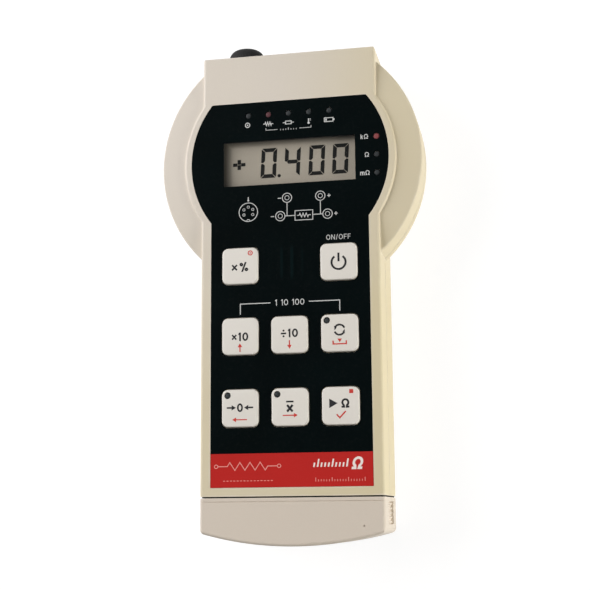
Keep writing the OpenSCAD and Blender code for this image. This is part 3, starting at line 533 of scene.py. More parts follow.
def metal(name, colour, rough, stretch=(1.0, 1.0, 1.0), depth=0.000006, tarnish=0.15):
    """Turned, drawn or plated metal with fine streaks and slight tarnish."""
    material, tree, shader, place = new_finish(name)
    streaks = use_group(tree, streak_group, place, Stretch=stretch)
    shade = use_group(tree, drift_group, place, Fineness=90.0)
    edge = use_group(tree, edge_group, place, Reach=0.00025)
    paint = mixed(tree, streaks["Tone"], rgba(colour, 0.9), rgba(colour, 1.0))
    dull = sum_of(tree, "MULTIPLY", shade["Drift"], tarnish)
    paint = mixed(tree, dull, paint, rgba(colour, 0.55))
    paint = mixed(tree, sum_of(tree, "MULTIPLY", edge["Mask"], 0.5), paint,
                  rgba(tuple(min(1.0, part * 1.15) for part in colour)))
    surface(tree, shader, paint,
            spread(tree, streaks["Tone"], 0.0, 1.0, rough - 0.05, rough + 0.1))
    shader.inputs["Metallic"].default_value = 1.0
    bump(tree, shader, streaks["Height"], 0.4, depth)
    return material


def board_finish():
    """Green circuit board: solder resist over copper tracks, with plated pads."""
    material, tree, shader, place = new_finish("circuit_board")
    cell = add(tree, "ShaderNodeTexVoronoi",
               {"Vector": place, "Scale": 330.0, "Randomness": 0.75},
               feature="F1", distance="CHEBYCHEV")
    lanes = add(tree, "ShaderNodeTexBrick",
                {"Vector": place, "Scale": 120.0, "Mortar Size": 0.035, "Brick Width": 1.7,
                 "Row Height": 0.16, "Mortar Smooth": 0.1,
                 "Color1": (0.0, 0.0, 0.0, 1.0), "Color2": (0.0, 0.0, 0.0, 1.0),
                 "Mortar": (1.0, 1.0, 1.0, 1.0)})
    pads = sum_of(tree, "LESS_THAN", cell.outputs["Distance"], 0.14)
    shade = use_group(tree, drift_group, place, Fineness=60.0)
    resist = mixed(tree, shade["Drift"], (0.010, 0.085, 0.036, 1.0), (0.016, 0.115, 0.050, 1.0))
    copper = mixed(tree, lanes.outputs["Fac"], resist, (0.045, 0.22, 0.09, 1.0))
    paint = mixed(tree, pads, copper, (0.62, 0.62, 0.60, 1.0))
    surface(tree, shader, paint, spread(tree, pads, 0.0, 1.0, 0.32, 0.4))
    feed(tree, shader.inputs["Metallic"], sum_of(tree, "MULTIPLY", pads, 0.9))
    height = sum_of(tree, "ADD", lanes.outputs["Fac"], pads)
    bump(tree, shader, height, 0.5, 0.00003)
    return material


def capped_finish(name, axis, low, high, middle, ends, rough, clear=False):
    """A body of one finish with metal ends beyond two places along an axis."""
    material, tree, shader, place = new_finish(name)
    parts = add(tree, "ShaderNodeSeparateXYZ", {"Vector": place})
    along = parts.outputs[axis]
    outside = beyond(tree, along, low, high)
    shade = use_group(tree, drift_group, place, Fineness=120.0)
    body = mixed(tree, shade["Drift"], rgba(middle, 0.9), rgba(middle, 1.08))
    paint = mixed(tree, outside, body, rgba(ends))
    surface(tree, shader, paint, spread(tree, shade["Marks"], 0.0, 1.0, rough, 0.5))
    feed(tree, shader.inputs["Metallic"], outside)
    if clear:
        feed(tree, shader.inputs["Alpha"], spread(tree, outside, 0.0, 1.0, 0.35, 1.0))
    bump(tree, shader, shade["Marks"], 0.2, 0.00002)
    return material


def cell_finish():
    """Plain battery cell wrap: green with a pale band, and bare metal ends."""
    material, tree, shader, place = new_finish("cell_wrap")
    low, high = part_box("battery_cells")
    parts = add(tree, "ShaderNodeSeparateXYZ", {"Vector": place})
    along = parts.outputs["Y"]
    bare_end, pale_band = 2.2 * MM, 11.0 * MM
    start, end = low.y + bare_end, high.y - bare_end
    bare = beyond(tree, along, start, end)
    pale = sum_of(tree, "GREATER_THAN", along, end - pale_band)
    shade = use_group(tree, drift_group, place, Fineness=80.0)
    wrap = mixed(tree, pale, (0.05, 0.12, 0.075, 1.0), (0.58, 0.60, 0.52, 1.0))
    wrap = mixed(tree, sum_of(tree, "MULTIPLY", shade["Drift"], 0.25), wrap,
                 (0.03, 0.05, 0.04, 1.0))
    paint = mixed(tree, bare, wrap, (0.66, 0.66, 0.67, 1.0))
    surface(tree, shader, paint, spread(tree, shade["Marks"], 0.0, 1.0, 0.25, 0.45))
    feed(tree, shader.inputs["Metallic"], bare)
    shader.inputs["Coat Weight"].default_value = 0.3
    bump(tree, shader, shade["Drift"], 0.2, 0.00003)
    return material


def strip_finish():
    """Zebra strip: thin dark and pink rubber layers across the strip."""
    material, tree, shader, place = new_finish("strip_rubber")
    parts = add(tree, "ShaderNodeSeparateXYZ", {"Vector": place})
    wave = sum_of(tree, "SINE", sum_of(tree, "MULTIPLY", parts.outputs["X"], 9000.0))
    dark = sum_of(tree, "GREATER_THAN", wave, 0.1)
    shade = use_group(tree, drift_group, place, Fineness=200.0)
    paint = mixed(tree, dark, (0.42, 0.20, 0.22, 1.0), (0.02, 0.02, 0.02, 1.0))
    paint = mixed(tree, sum_of(tree, "MULTIPLY", shade["Drift"], 0.3), paint,
                  (0.2, 0.1, 0.1, 1.0))
    surface(tree, shader, paint, spread(tree, shade["Marks"], 0.0, 1.0, 0.6, 0.75))
    bump(tree, shader, wave, 0.2, 0.00003)
    return material


def lcd_finish():
    """Reflective display: pale warm grey, with painted shade along its left and upper edges."""
    material, tree, shader, place = new_finish("display_glass")
    tint = colours().lcd
    grain = use_group(tree, grain_group, place, Fineness=4200.0)
    shade = use_group(tree, drift_group, place, Fineness=26.0)
    parts = add(tree, "ShaderNodeSeparateXYZ", {"Vector": place})
    low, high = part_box("display_window")
    paint = mixed(tree, shade["Drift"], rgba(tint, 0.95), rgba(tint, 1.05))
    paint = mixed(tree, sum_of(tree, "MULTIPLY", grain["Tone"], 0.4), paint, rgba(tint, 0.92))
    # painted shade: the left and upper edges are darkened as if the window's edge shades them
    left = spread(tree, parts.outputs["X"], low.x + 0.0012, low.x + 0.005, 1.0, 0.0, True)
    upper = spread(tree, parts.outputs["Y"], high.y - 0.0008, high.y - 0.0038, 1.0, 0.0, True)
    painted_bezel_shade = sum_of(tree, "MAXIMUM", left, sum_of(tree, "MULTIPLY", upper, 0.8))
    paint = mixed(tree, sum_of(tree, "MULTIPLY", painted_bezel_shade, 0.85), paint, rgba(tint, 0.12))
    surface(tree, shader, paint, spread(tree, grain["Tone"], 0.0, 1.0, 0.2, 0.3), 0.2)
    bump(tree, shader, grain["Height"], 0.2, 0.000008)
    return material


def lamp_finish(name, colour, glow):
    """Tinted lamp lens, slightly uneven; a lit one glows a little."""
    material, tree, shader, place = new_finish(name)
    shade = use_group(tree, drift_group, place, Fineness=300.0)
    paint = mixed(tree, shade["Drift"], rgba(colour, 0.86), rgba(colour, 1.1))
    surface(tree, shader, paint, spread(tree, shade["Marks"], 0.0, 1.0, 0.42, 0.55), 0.15)
    if glow:
        shader.inputs["Emission Strength"].default_value = glow
        feed(tree, shader.inputs["Emission Color"], paint)
    bump(tree, shader, shade["Marks"], 0.15, 0.00003)
    return material


def rubber(name, colour):
    """Soft matt rubber."""
    return moulded(name, colour, 0.62, specular=0.2, fineness=3200.0, depth=0.00003,
                   rub_and_highlight=0.3, rub_and_highlight_colour=(0.05, 0.05, 0.05), dust=0.04, drift=0.1)


def wire_finish(name, colour):
    """Extruded wire cover: smooth and glossy with faint draw marks."""
    material, tree, shader, place = new_finish(name)
    streaks = use_group(tree, streak_group, place, Stretch=(1.0, 0.05, 1.0))
    paint = mixed(tree, streaks["Tone"], rgba(colour, 0.88), rgba(colour, 1.06))
    surface(tree, shader, paint, spread(tree, streaks["Tone"], 0.0, 1.0, 0.26, 0.38))
    bump(tree, shader, streaks["Height"], 0.2, 0.00001)
    return material


def build_finish(name):
    """Makes one of this instrument's finishes by name."""
    tint = colours()
    makers = {
        "case_plastic": lambda: case_finish(name, tint.case, tint.warm_cast),
        "cap_plastic": lambda: case_finish(name, tint.cap, None),
        "panel_film": panel_finish,
        "pale_ink": lambda: ink_finish(name, tint.pale_ink),
        "band_ink": lambda: ink_finish(name, tint.band_ink),
        "bold_ink": lambda: ink_finish(name, tint.bold_ink),
        "key_ink": lambda: ink_finish(name, tint.key_ink),
        "red_ink": lambda: ink_finish(name, tint.red_ink),
        "segment_ink": lambda: ink_finish(name, tint.segments, specular=0.05),
        "key_plastic": lambda: moulded(
            name, tint.key, 0.42, fineness=3400.0, depth=0.00001, rub_and_highlight=0.25, dust=0.03,
            drift=0.02),
        "window_clear": lambda: clear_finish(name, (0.30, 0.31, 0.30), 0.015, specular=0.12),
        "display_glass": lcd_finish,
        "black_plastic": lambda: moulded(
            name, srgb(24, 24, 26), 0.45, rub_and_highlight_colour=(0.06, 0.06, 0.06), drift=0.12),
        "red_plastic": lambda: moulded(name, srgb(170, 28, 26), 0.34, rub_and_highlight=0.3, drift=0.06),
        "black_rubber": lambda: rubber(name, srgb(17, 17, 18)),
        "strip_rubber": strip_finish,
        "lamp_dark": lambda: lamp_finish(name, tint.lamp_off, 0.0),
        "lamp_red": lambda: lamp_finish(name, tint.lamp_on, 0.25),
        "lamp_dull_red": lambda: lamp_finish(name, srgb(90, 56, 61), 0.05),
        "circuit_board": board_finish,
        "brass": lambda: metal(name, (0.78, 0.56, 0.24), 0.26, stretch=(1.0, 0.08, 1.0)),
        "steel": lambda: metal(name, (0.60, 0.60, 0.62), 0.28),
        "spring_steel": lambda: metal(
            name, (0.66, 0.65, 0.62), 0.22, stretch=(0.3, 1.0, 0.3)),
        "aluminium": lambda: metal(name, (0.70, 0.71, 0.73), 0.36, stretch=(0.08, 1.0, 1.0)),
        "chip_epoxy": lambda: moulded(
            name, srgb(30, 30, 32), 0.55, rub_and_highlight=0.3, rub_and_highlight_colour=(0.09, 0.09, 0.09),
            depth=0.00003, drift=0.1),
        "relay_white": lambda: moulded(name, srgb(222, 218, 206), 0.42, rub_and_highlight=0.3, drift=0.03),
        "ceramic": lambda: moulded(
            name, srgb(212, 206, 190), 0.66, rub_and_highlight=0.4, depth=0.00004, drift=0.05),
        "wire_red": lambda: wire_finish(name, srgb(176, 30, 26)),
        "wire_yellow": lambda: wire_finish(name, srgb(206, 178, 52)),
        "cell_wrap": cell_finish,
    }
    if name not in makers:
        raise KeyError("no finish is named " + name)
    return makers[name]()


def finish(name):
    """The finish of that name, made the first time that it is asked for."""
    look = "finish_" + name
    if look not in bpy.data.materials:
        build_finish(name).name = look
    return bpy.data.materials[look]


def dress(node, material):
    """Gives a CAD node its finish."""
    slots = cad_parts[node].data.materials
    slots.clear()
    slots.append(material)


def dress_all(finishes):
    """Gives CAD nodes their finishes; each line holds a finish and its nodes."""
    for name, nodes in finishes.items():
        for node in nodes:
            dress(node, finish(name))


# -------------------------------------------------------------- flat drawings
# Shapes are lists of points in millimetres, counted from the middle of the head.

def moved(points, across, along):
    """The points, shifted."""
    return [(x + across, y + along) for x, y in points]


def arc(across, along, radius, start, end, steps=24, tall=None):
    """Points of an arc in degrees; tall is the radius along Y where it differs."""
    tall = radius if tall is None else tall
    out = []
    for step in range(steps + 1):
        angle = math.radians(start + (end - start) * step / steps)
        out.append((across + radius * math.cos(angle), along + tall * math.sin(angle)))
    return out


def disc(across, along, radius, steps=28):
    """Outline of a disc."""
    return arc(across, along, radius, 0, 360, steps)[:-1]


def rect(left, low, right, high):
    """Outline of an upright rectangle."""
    return [(left, low), (right, low), (right, high), (left, high)]


def ribbon(points, width, closed=False):
    """Quads along a line of points, with mitred joins that never grow too long."""
    least_cosine = 0.35
    count = len(points)
    sides = []
    for place in range(count):
        here = Vector(points[place])
        before = Vector(points[place - 1]) if (closed or place) else None
        if closed or place < count - 1:
            after = Vector(points[(place + 1) % count])
        else:
            after = None
        first = (here - before).normalized() if before is not None else None
        last = (after - here).normalized() if after is not None else None
        first = first or last
        last = last or first
        along = first + last
        along = along.normalized() if along.length > 1e-6 else first
        side = Vector((-along.y, along.x))
        cosine = max(least_cosine, side.dot(Vector((-first.y, first.x))))
        reach = side * (width / 2 / cosine)
        sides.append((here + reach, here - reach))
    out = []
    for place in range(count if closed else count - 1):
        left, right = sides[place]
        next_left, next_right = sides[(place + 1) % count]
        out.append([tuple(right), tuple(next_right), tuple(next_left), tuple(left)])
    return out


def ring(across, along, radius, width, steps=32):
    """A circle drawn with a pen of some width."""
    return ribbon(disc(across, along, radius, steps), width, True)


def arrow(start, end, width, head):
    """A straight arrow with a solid head."""
    start, end = Vector(start), Vector(end)
    along = (end - start).normalized()
    side = Vector((-along.y, along.x))
    neck = end - along * head
    wing = side * head * 0.62
    overlap = along * 0.1
    out = ribbon([tuple(start), tuple(neck + overlap)], width)
    out.append([tuple(neck - wing), tuple(end), tuple(neck + wing)])
    return out


def glyph(sign, weight):
    """Width and shapes of one figure or sign in a box one unit high."""
    half = weight / 2
    if sign == "0":
        return 0.7, ribbon(arc(0.35, 0.5, 0.35 - half, 0, 360, 28, 0.5 - half)[:-1], weight, True)
    if sign == "O":
        return 0.78, ribbon(arc(0.39, 0.5, 0.39 - half, 0, 360, 28, 0.5 - half)[:-1], weight, True)
    if sign == "1":
        flag = [(0.02, 0.70), (0.02, 0.82), (0.30 - weight, 1.0), (0.30, 1.0), (0.30, 0.86)]
        return 0.34, [rect(0.32 - weight, 0, 0.32, 1), flag]
    if sign == "N":
        slash = [(0, 1), (0.72 - weight * 1.15, 0), (0.72, 0), (weight * 1.15, 1)]
        return 0.72, [rect(0, 0, weight, 1), rect(0.72 - weight, 0, 0.72, 1), slash]
    if sign == "F":
        return 0.56, [rect(0, 0, weight, 1), rect(0, 1 - weight, 0.56, 1),
                      rect(0, 0.5 - half, 0.5, 0.5 + half)]
    if sign == "/":
        return 0.36, [[(0, -0.05), (weight, -0.05), (0.36, 1.05), (0.36 - weight, 1.05)]]
    if sign == "k":
        lower = [(weight, 0.42), (0.34, 0), (0.52, 0), (weight * 1.6, 0.62)]
        upper = [(weight, 0.28), (0.5, 0.72), (0.32, 0.72), (weight, 0.42)]
        return 0.5, [rect(0, 0, weight, 1), lower, upper]
    if sign == "m":
        out = [rect(0, 0, weight, 0.72)]
        for start in (half, 0.4):
            bow = arc(start + 0.2, 0.48, 0.2, 180, 0, 12) + [(start + 0.4, 0)]
            out += ribbon([(start, 0.30)] + bow, weight)
        return 0.8 + half, out
    if sign == "W":
        bow = arc(0.42, 0.56, 0.42 - half, 236, -56, 28, 0.44 - half)
        line = [(0.0, half), (0.27, half)] + bow + [(0.57, half), (0.84, half)]
        return 0.84, ribbon(line, weight)
    if sign == "%":
        out = ribbon(disc(0.2, 0.76, 0.2 - half, 20), weight * 0.9, True)
        out += ribbon(disc(0.72, 0.24, 0.2 - half, 20), weight * 0.9, True)
        out.append([(0.18, 0), (0.18 + weight, 0), (0.74, 1), (0.74 - weight, 1)])
        return 0.92, out
    if sign == "x":
        out = ribbon([(0.06, 0.10), (0.58, 0.70)], weight)
        out += ribbon([(0.06, 0.70), (0.58, 0.10)], weight)
        return 0.64, out
    if sign == "X":
        out = ribbon([(0.05, 0.2), (0.55, 0.74)], weight * 0.9)
        out += ribbon([(0.05, 0.74), (0.55, 0.2)], weight * 0.9)
        return 0.62, out
    if sign == ":":
        return 0.66, [rect(0, 0.47 - half, 0.64, 0.47 + half), disc(0.32, 0.80, weight * 0.62, 14),
                      disc(0.32, 0.14, weight * 0.62, 14)]
    if sign == "+":
        return 0.6, [rect(0, 0.5 - half, 0.6, 0.5 + half), rect(0.3 - half, 0.2, 0.3 + half, 0.8)]
    if sign == "-":
        return 0.5, [rect(0, 0.5 - half, 0.5, 0.5 + half)]
    if sign == " ":
        return 0.34, []
    raise KeyError("no glyph for " + sign)


def written(text, across, along, height, weight=0.16, gap=0.16, slant=0.0):
    """Shapes of a short text centred on a place."""
    drawn = [glyph(sign, weight) for sign in text]
    width = sum(part[0] for part in drawn) + gap * (len(drawn) - 1)
    pen = -width / 2
    out = []
    for step, shapes in drawn:
        for shape in shapes:
            out.append([(across + height * (x + pen + slant * (y - 0.5)),
                         along + height * (y - 0.5)) for x, y in shape])
        pen += step + gap
    return out


# --------------------------------------------------------------------- meshes

def spot(across, along, height):
    """A place in metres, from millimetres counted from the middle of the head."""
    return (across * MM, (along + HEAD_Y) * MM, height * MM)


def wound_right(points):
    """The points in counter-clockwise order."""
    area = 0.0
    for (x0, y0), (x1, y1) in zip(points, points[1:] + points[:1]):
        area += x0 * y1 - x1 * y0
    return points if area > 0 else points[::-1]


def flat_faces(shapes, holes=()):
    """Points and triangles that cover the shapes once, less the holes."""
    inside_only, merged = 1, 0.0001
    points = []
    faces = []
    for shape in list(shapes) + list(holes):
        loop = wound_right([tuple(point) for point in shape])
        faces.append(list(range(len(points), len(points) + len(loop))))
        points.extend(Vector(point) for point in loop)
    first_hole = len(shapes)
    verts, _, tris, _, _, origin = delaunay_2d_cdt(points, [], faces, inside_only, merged)
    kept = []
    for tri, source in zip(tris, origin):
        if source and not any(number >= first_hole for number in source):
            kept.append(tri)
    return verts, kept


def finished_object(name, mesh, material, body, smooth=None):
    """Links a mesh as a piece that rides on a body."""
    mesh.materials.append(material)
    if smooth is not None:
        mesh.shade_smooth()
        mesh.set_sharp_from_angle(angle=math.radians(smooth))
    piece = bpy.data.objects.new(name, mesh)
    bpy.context.scene.collection.objects.link(piece)
    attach(piece, body)
    return piece


def slab(name, shapes, low, high, material, body):
    """A closed thin solid over flat shapes, between two heights in millimetres."""
    flat, tris = flat_faces(shapes)
    maker = bmesh.new()
    tops = [maker.verts.new(spot(p.x, p.y, high)) for p in flat]
    lows = [maker.verts.new(spot(p.x, p.y, low)) for p in flat]
    edges = {}
    for tri in tris:
        maker.faces.new([tops[i] for i in tri])
        maker.faces.new([lows[i] for i in reversed(tri)])
        for first, last in zip(tri, tri[1:] + tri[:1]):
            edges[(first, last)] = True
    for first, last in edges:
        if (last, first) not in edges:
            maker.faces.new([lows[first], lows[last], tops[last], tops[first]])
    loose = [vert for vert in maker.verts if not vert.link_faces]
    bmesh.ops.delete(maker, geom=loose, context="VERTS")
    mesh = bpy.data.meshes.new(name)
    maker.to_mesh(mesh)
    maker.free()
    return finished_object(name, mesh, material, body)


def lathe(profile, centre, axis="Z", steps=40, maker=None, ribs=None):
    """Turns (radius, height) points round an axis through a centre, in millimetres.

    ribs holds the rows that they shape, how deep they are and how many there are.
    """
    maker = maker or bmesh.new()
    rows = []
    for number, (radius, height) in enumerate(profile):
        row = []
        count = steps if radius > 1e-6 else 1
        for step in range(count):
            angle = 2 * math.pi * step / steps
            reach = radius
            if ribs and number in ribs[0]:
                reach += ribs[1] * math.cos(ribs[2] * angle)
            side, rise = reach * math.cos(angle), reach * math.sin(angle)
            if axis == "Z":
                place = spot(centre[0] + side, centre[1] + rise, centre[2] + height)
            else:
                place = spot(centre[0] + rise, centre[1] + height, centre[2] + side)
            row.append(maker.verts.new(place))
        rows.append(row)
    for lower, upper in zip(rows, rows[1:]):
        for step in range(steps):
            after = (step + 1) % steps
            quad = [lower[step % len(lower)], lower[after % len(lower)],
                    upper[after % len(upper)], upper[step % len(upper)]]
            unique = list(dict.fromkeys(quad))
            if len(unique) > 2:
                maker.faces.new(unique)
    for row, flip in ((rows[0], True), (rows[-1], False)):
        if len(row) > 1:
            maker.faces.new(row[::-1] if flip else row)
    return maker


def bridge(maker, lower, upper):
    """Faces between two closed rows of as many points."""
    count = len(lower)
    for step in range(count):
        after = (step + 1) % count
        maker.faces.new([lower[step], lower[after], upper[after], upper[step]])


def made_mesh(name, maker):
    """Closes a bmesh and turns it into a mesh."""
    bmesh.ops.remove_doubles(maker, verts=maker.verts, dist=NEAR)
    bmesh.ops.recalc_face_normals(maker, faces=maker.faces)
    mesh = bpy.data.meshes.new(name)
    maker.to_mesh(mesh)
    maker.free()
    return mesh


def quarter(steps):
    """Cosines and sines of even steps from 0 to 90 degrees."""
    turns = [math.radians(90 * step / steps) for step in range(steps + 1)]
    return [(math.cos(turn), math.sin(turn)) for turn in turns]


def rounded_square(half, corner, steps=7):
    """Outline of a square with rounded corners, round nought."""
    out = []
    for quarter, (across, along) in enumerate(((1, 1), (-1, 1), (-1, -1), (1, -1))):
        out += arc(across * (half - corner), along * (half - corner), corner,
                   90 * quarter, 90 * quarter + 90, steps)
    return out


def key_cap(name, across, along, lit):
    """A key cap with rounded edges, its hidden flange and stem, and a lamp hole if lit."""
    size = sizes()
    half = size.key_width / MM / 2
    corner = size.key_corner / MM
    edge = size.key_edge / MM
    top = KEY_TOP - KEY_INK
    foot, shelf = KEY_FLANGE
    flange, flange_corner = half + 0.8, corner + 0.3
    skirt, skirt_top = half + 0.02, shelf + 0.3
    lamp_hole_r = 1.35
    stem_r = 1.75
    rows = [(flange, flange_corner, foot), (flange, flange_corner, shelf),
            (skirt, corner, shelf), (skirt, corner, skirt_top)]
    for cosine, sine in quarter(5):
        shrink = edge * (1 - cosine)
        rows.append((half - shrink, corner - shrink, top - edge + edge * sine))
    maker = bmesh.new()
    loops = [[maker.verts.new(spot(across + x, along + y, height))
              for x, y in rounded_square(reach, radius)] for reach, radius, height in rows]
    for lower, upper in zip(loops, loops[1:]):
        bridge(maker, lower, upper)
    hole = disc(KEY_LAMP[0], KEY_LAMP[1], lamp_hole_r, 24)
    holes = [hole] if lit else []
    for (reach, radius, height), flip in ((rows[-1], False), (rows[0], True)):
        flat, tris = flat_faces([rounded_square(reach, radius)], holes)
        verts = [maker.verts.new(spot(across + p.x, along + p.y, height)) for p in flat]
        for tri in tris:
            maker.faces.new([verts[i] for i in (reversed(tri) if flip else tri)])
    if lit:
        low, high = [[maker.verts.new(spot(across + x, along + y, height)) for x, y in hole]
                     for height in (foot, top)]
        bridge(maker, low[::-1], high[::-1])
    lathe([(stem_r, height) for height in KEY_STEM], (across, along, 0.0), maker=maker,
          steps=24)
    piece = finished_object(name, made_mesh(name, maker), finish("key_plastic"),
                            name.replace("_cap", ""), smooth=40)
    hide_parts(name.replace("_cap", ""))
    return piece


def wound_spring(name, low, high, big_end_low):
    """A cone of spring wire between the tray and a cell, wound round the Y axis."""
    middle_x, middle_z = (low[0] + high[0]) / 2, (low[2] + high[2]) / 2
    wire_r = 0.3
    small_r = 2.2
    turns, per_turn, sides = 4.5, 22, 8
    # the share of the wire that lies flat at each end
    flat_end = 0.12
    big_r = (high[0] - low[0]) / 2 - wire_r
    length = high[1] - low[1] - 2 * wire_r
    path = []
    count = int(turns * per_turn)
    for step in range(count + 1):
        share = step / count
        rise = min(1.0, max(0.0, (share - flat_end) / (1 - 2 * flat_end)))
        radius = big_r + (small_r - big_r) * share
        angle = 2 * math.pi * turns * share
        far = rise if big_end_low else 1.0 - rise
        path.append(Vector((middle_x + radius * math.cos(angle),
                            low[1] + wire_r + length * far,
                            middle_z + radius * math.sin(angle))))
    maker = bmesh.new()
    rows = []
    for here in path:
        out = Vector((here.x - middle_x, 0.0, here.z - middle_z)).normalized()
        row = []
        for side in range(sides):
            turn = 2 * math.pi * side / sides
            point = here + out * wire_r * math.cos(turn) + Vector((0, wire_r * math.sin(turn), 0))
            row.append(maker.verts.new(spot(point.x, point.y, point.z)))
        rows.append(row)
    for lower, upper in zip(rows, rows[1:]):
        bridge(maker, lower, upper)
    maker.faces.new(rows[0][::-1])
    maker.faces.new(rows[-1])
    piece = finished_object(name, made_mesh(name, maker), finish("spring_steel"), "case",
                            smooth=50)
    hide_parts("battery_springs")
    return piece


def dust_cap():
    """The soft cap of the probe socket: spigot, ribbed grip, round nose and dimple."""
    spigot_r, grip_r, nose_r = 6.5, 7.86, 4.0
    spigot_l, grip_l, cap_l = 4.0, 3.3, 7.5
    chamfer = 0.3
    grip_end_r = 7.7
    profile = [(0.0, -spigot_l), (spigot_r - chamfer, -spigot_l),
               (spigot_r, -spigot_l + chamfer), (spigot_r, 0.0), (grip_end_r, 0.0),
               (grip_r, chamfer), (grip_r, grip_l - chamfer), (grip_end_r, grip_l)]
    ribbed_rows = (5, 6)
    for cosine, sine in quarter(8)[1:]:
        profile.append((nose_r + (grip_end_r - nose_r) * cosine, grip_l + (cap_l - grip_l) * sine))
    profile += [(3.4, cap_l), (3.1, cap_l - 0.25), (0.0, cap_l - 0.35)]
    maker = lathe(profile, PROBE_SOCKET, "Y", 216, ribs=(ribbed_rows, 0.14, 36))
    piece = finished_object("dust_cap", made_mesh("dust_cap", maker), finish("black_rubber"),
                            "probe_dust_cap", smooth=35)
    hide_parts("probe_dust_cap")
    return piece


def power_sign(across, along, radius, width):
    """The usual power sign: an open circle with a bar at its top."""
    out = ribbon(arc(across, along, radius, 125, 415, 30), width)
    out.append(rect(across - width / 2, along + radius * 0.1, across + width / 2,
                    along + radius * 1.35))
    return out


def half_turns(across, along, radius, width):
    """Two half-circle arrows that chase each other."""
    wing = 0.62
    out = []
    for start in (20, 200):
        out += ribbon(arc(across, along, radius, start, start + 125, 14), width)
        head = ((radius + wing, start + 122), (radius, start + 165), (radius - wing, start + 122))
        out.append([(across + reach * math.cos(math.radians(turn)),
                     along + reach * math.sin(math.radians(turn))) for reach, turn in head])
    return out


def target(across, along, radius, width):
    """A circle with a dot in it."""
    out = ring(across, along, radius, width)
    out.append(disc(across, along, radius * 0.34, 16))
    return out


def zigzag(left, right, along, rise, width, peaks=6):
    """The zigzag sign of a resistor, with straight ends."""
    straight = (right - left) * 0.16
    span = (right - left) - 2 * straight
    points = [(left, along), (left + straight, along)]
    for peak in range(peaks):
        x = left + straight + span * (peak + 0.5) / peaks
        points.append((x, along + (rise if peak % 2 == 0 else -rise)))
    points += [(right - straight, along), (right, along)]
    return ribbon(points, width)


def key_signs(name):
    """Black and red signs of one key, drawn round nought."""
    high = sizes().sign_height / MM
    black, red = [], []
    if name == "key_coefficient":
        black = written("X%", 0.0, -0.5, high * 1.25, 0.19, 0.2)
        red = target(4.3, 5.2, 0.85, 0.4)
    elif name == "key_power":
        black = power_sign(0.0, -0.35, 2.85, 0.82)
    elif name == "key_up":
        black = written("X10", 0.0, -0.2, high * 1.08, 0.195, 0.16)
        red = arrow((0.0, -6.3), (0.0, -2.9), 0.45, 1.5)
    elif name == "key_down":
        black = written(":10", 0.0, 0.6, high * 1.08, 0.195, 0.16)
        red = arrow((0.0, -2.3), (0.0, -5.7), 0.45, 1.5)
    elif name == "key_auto":
        black = half_turns(0.0, 1.2, 2.05, 0.72)
        red = [rect(-2.9, -4.7, 2.9, -4.2), rect(-2.9, -4.7, -2.4, -3.1),
               rect(2.4, -4.7, 2.9, -3.1), [(-0.9, -2.4), (0.0, -3.8), (0.9, -2.4)]]
    elif name == "key_zero":
        black = written("0", 0.0, 0.2, high * 1.08, 0.195)
        for side in (-1, 1):
            black += arrow((side * 5.4, 0.2), (side * 1.7, 0.2), 0.65, 1.7)
        red = arrow((2.9, -4.6), (-3.1, -4.6), 0.45, 1.5)
    elif name == "key_average":
        black = written("x", 0.0, -0.1, high * 1.35, 0.2)
        black.append(rect(-1.5, 1.8, 1.5, 2.45))
        red = arrow((-2.9, -3.3), (3.1, -3.3), 0.45, 1.5)
    elif name == "key_measure":
        black = written("W", 1.9, 1.0, high * 1.15, 0.21)
        black.append([(-4.5, -0.85), (-4.5, 2.85), (-1.2, 1.0)])
        red = ribbon([(-1.6, -3.4), (-0.4, -4.7), (2.0, -2.2)], 0.55)
        red.append(rect(3.5, 4.8, 5.1, 6.4))
    return black, red


def mode_labels():
    """Signs under the mode lamps: target, resistor, resistor box, thermometer, battery."""
    line = 0.34
    row = 15.9
    dot, coil, box, warm, cell = MODE_LAMPS
    ink = target(dot - 0.3, row, 0.95, line)
    ink += zigzag(coil - 2.1, coil + 2.1, row, 0.75, line)
    ink += ribbon(rect(box - 1.2, row - 0.62, box + 1.2, row + 0.62), line, True)
    ink += [rect(box - 2.3, row - 0.16, box - 1.2, row + 0.16),
            rect(box + 1.2, row - 0.16, box + 2.3, row + 0.16)]
    ink += [disc(warm, row - 0.75, 0.5, 16),
            rect(warm - 0.22, row - 0.6, warm + 0.22, row + 1.15)]
    ink += [rect(warm + 0.45, row + 0.75, warm + 0.95, row + 1.0),
            rect(warm + 0.45, row + 0.2, warm + 0.95, row + 0.45)]
    ink += ribbon(rect(cell - 1.9, row - 0.8, cell + 1.7, row + 0.8), line, True)
    ink += [rect(cell + 1.8, row - 0.4, cell + 2.3, row + 0.4),
            rect(cell - 1.5, row - 0.45, cell - 0.9, row + 0.45)]
    # a bracket under the three middle signs, with a short scale in its gap
    upper, lower, gap = 14.1, 13.2, 4.6
    ink += ribbon([(coil - 1.0, upper), (coil - 1.0, lower), (-gap, lower)], 0.2)
    ink += ribbon([(warm + 1.0, upper), (warm + 1.0, lower), (gap, lower)], 0.2)
    pitch, half = 1.1, 0.11
    for tick in range(-3, 4):
        ink.append(rect(tick * pitch - half, 12.75, tick * pitch + half,
                        13.35 if tick else 13.7))
    return ink


def probe_mark():
    """Round sign of the probe socket: its pins, its key and an arrow to its place."""
    x, y = -17.03, -21.26
    ink = ring(x, y, 3.9, 0.3)
    for pin in range(-2, 3):
        angle = math.radians(90 + 60 * pin)
        ink += ring(x + 2.15 * math.cos(angle), y + 2.15 * math.sin(angle), 0.5, 0.22, 14)
    ink += ribbon(arc(x, y - 3.84, 0.75, 20, 160, 10), 0.26)
    ink += [disc(x, y + 4.91, 0.42, 14), rect(x - 0.17, y + 5.06, x + 0.17, y + 6.36)]
    return ink


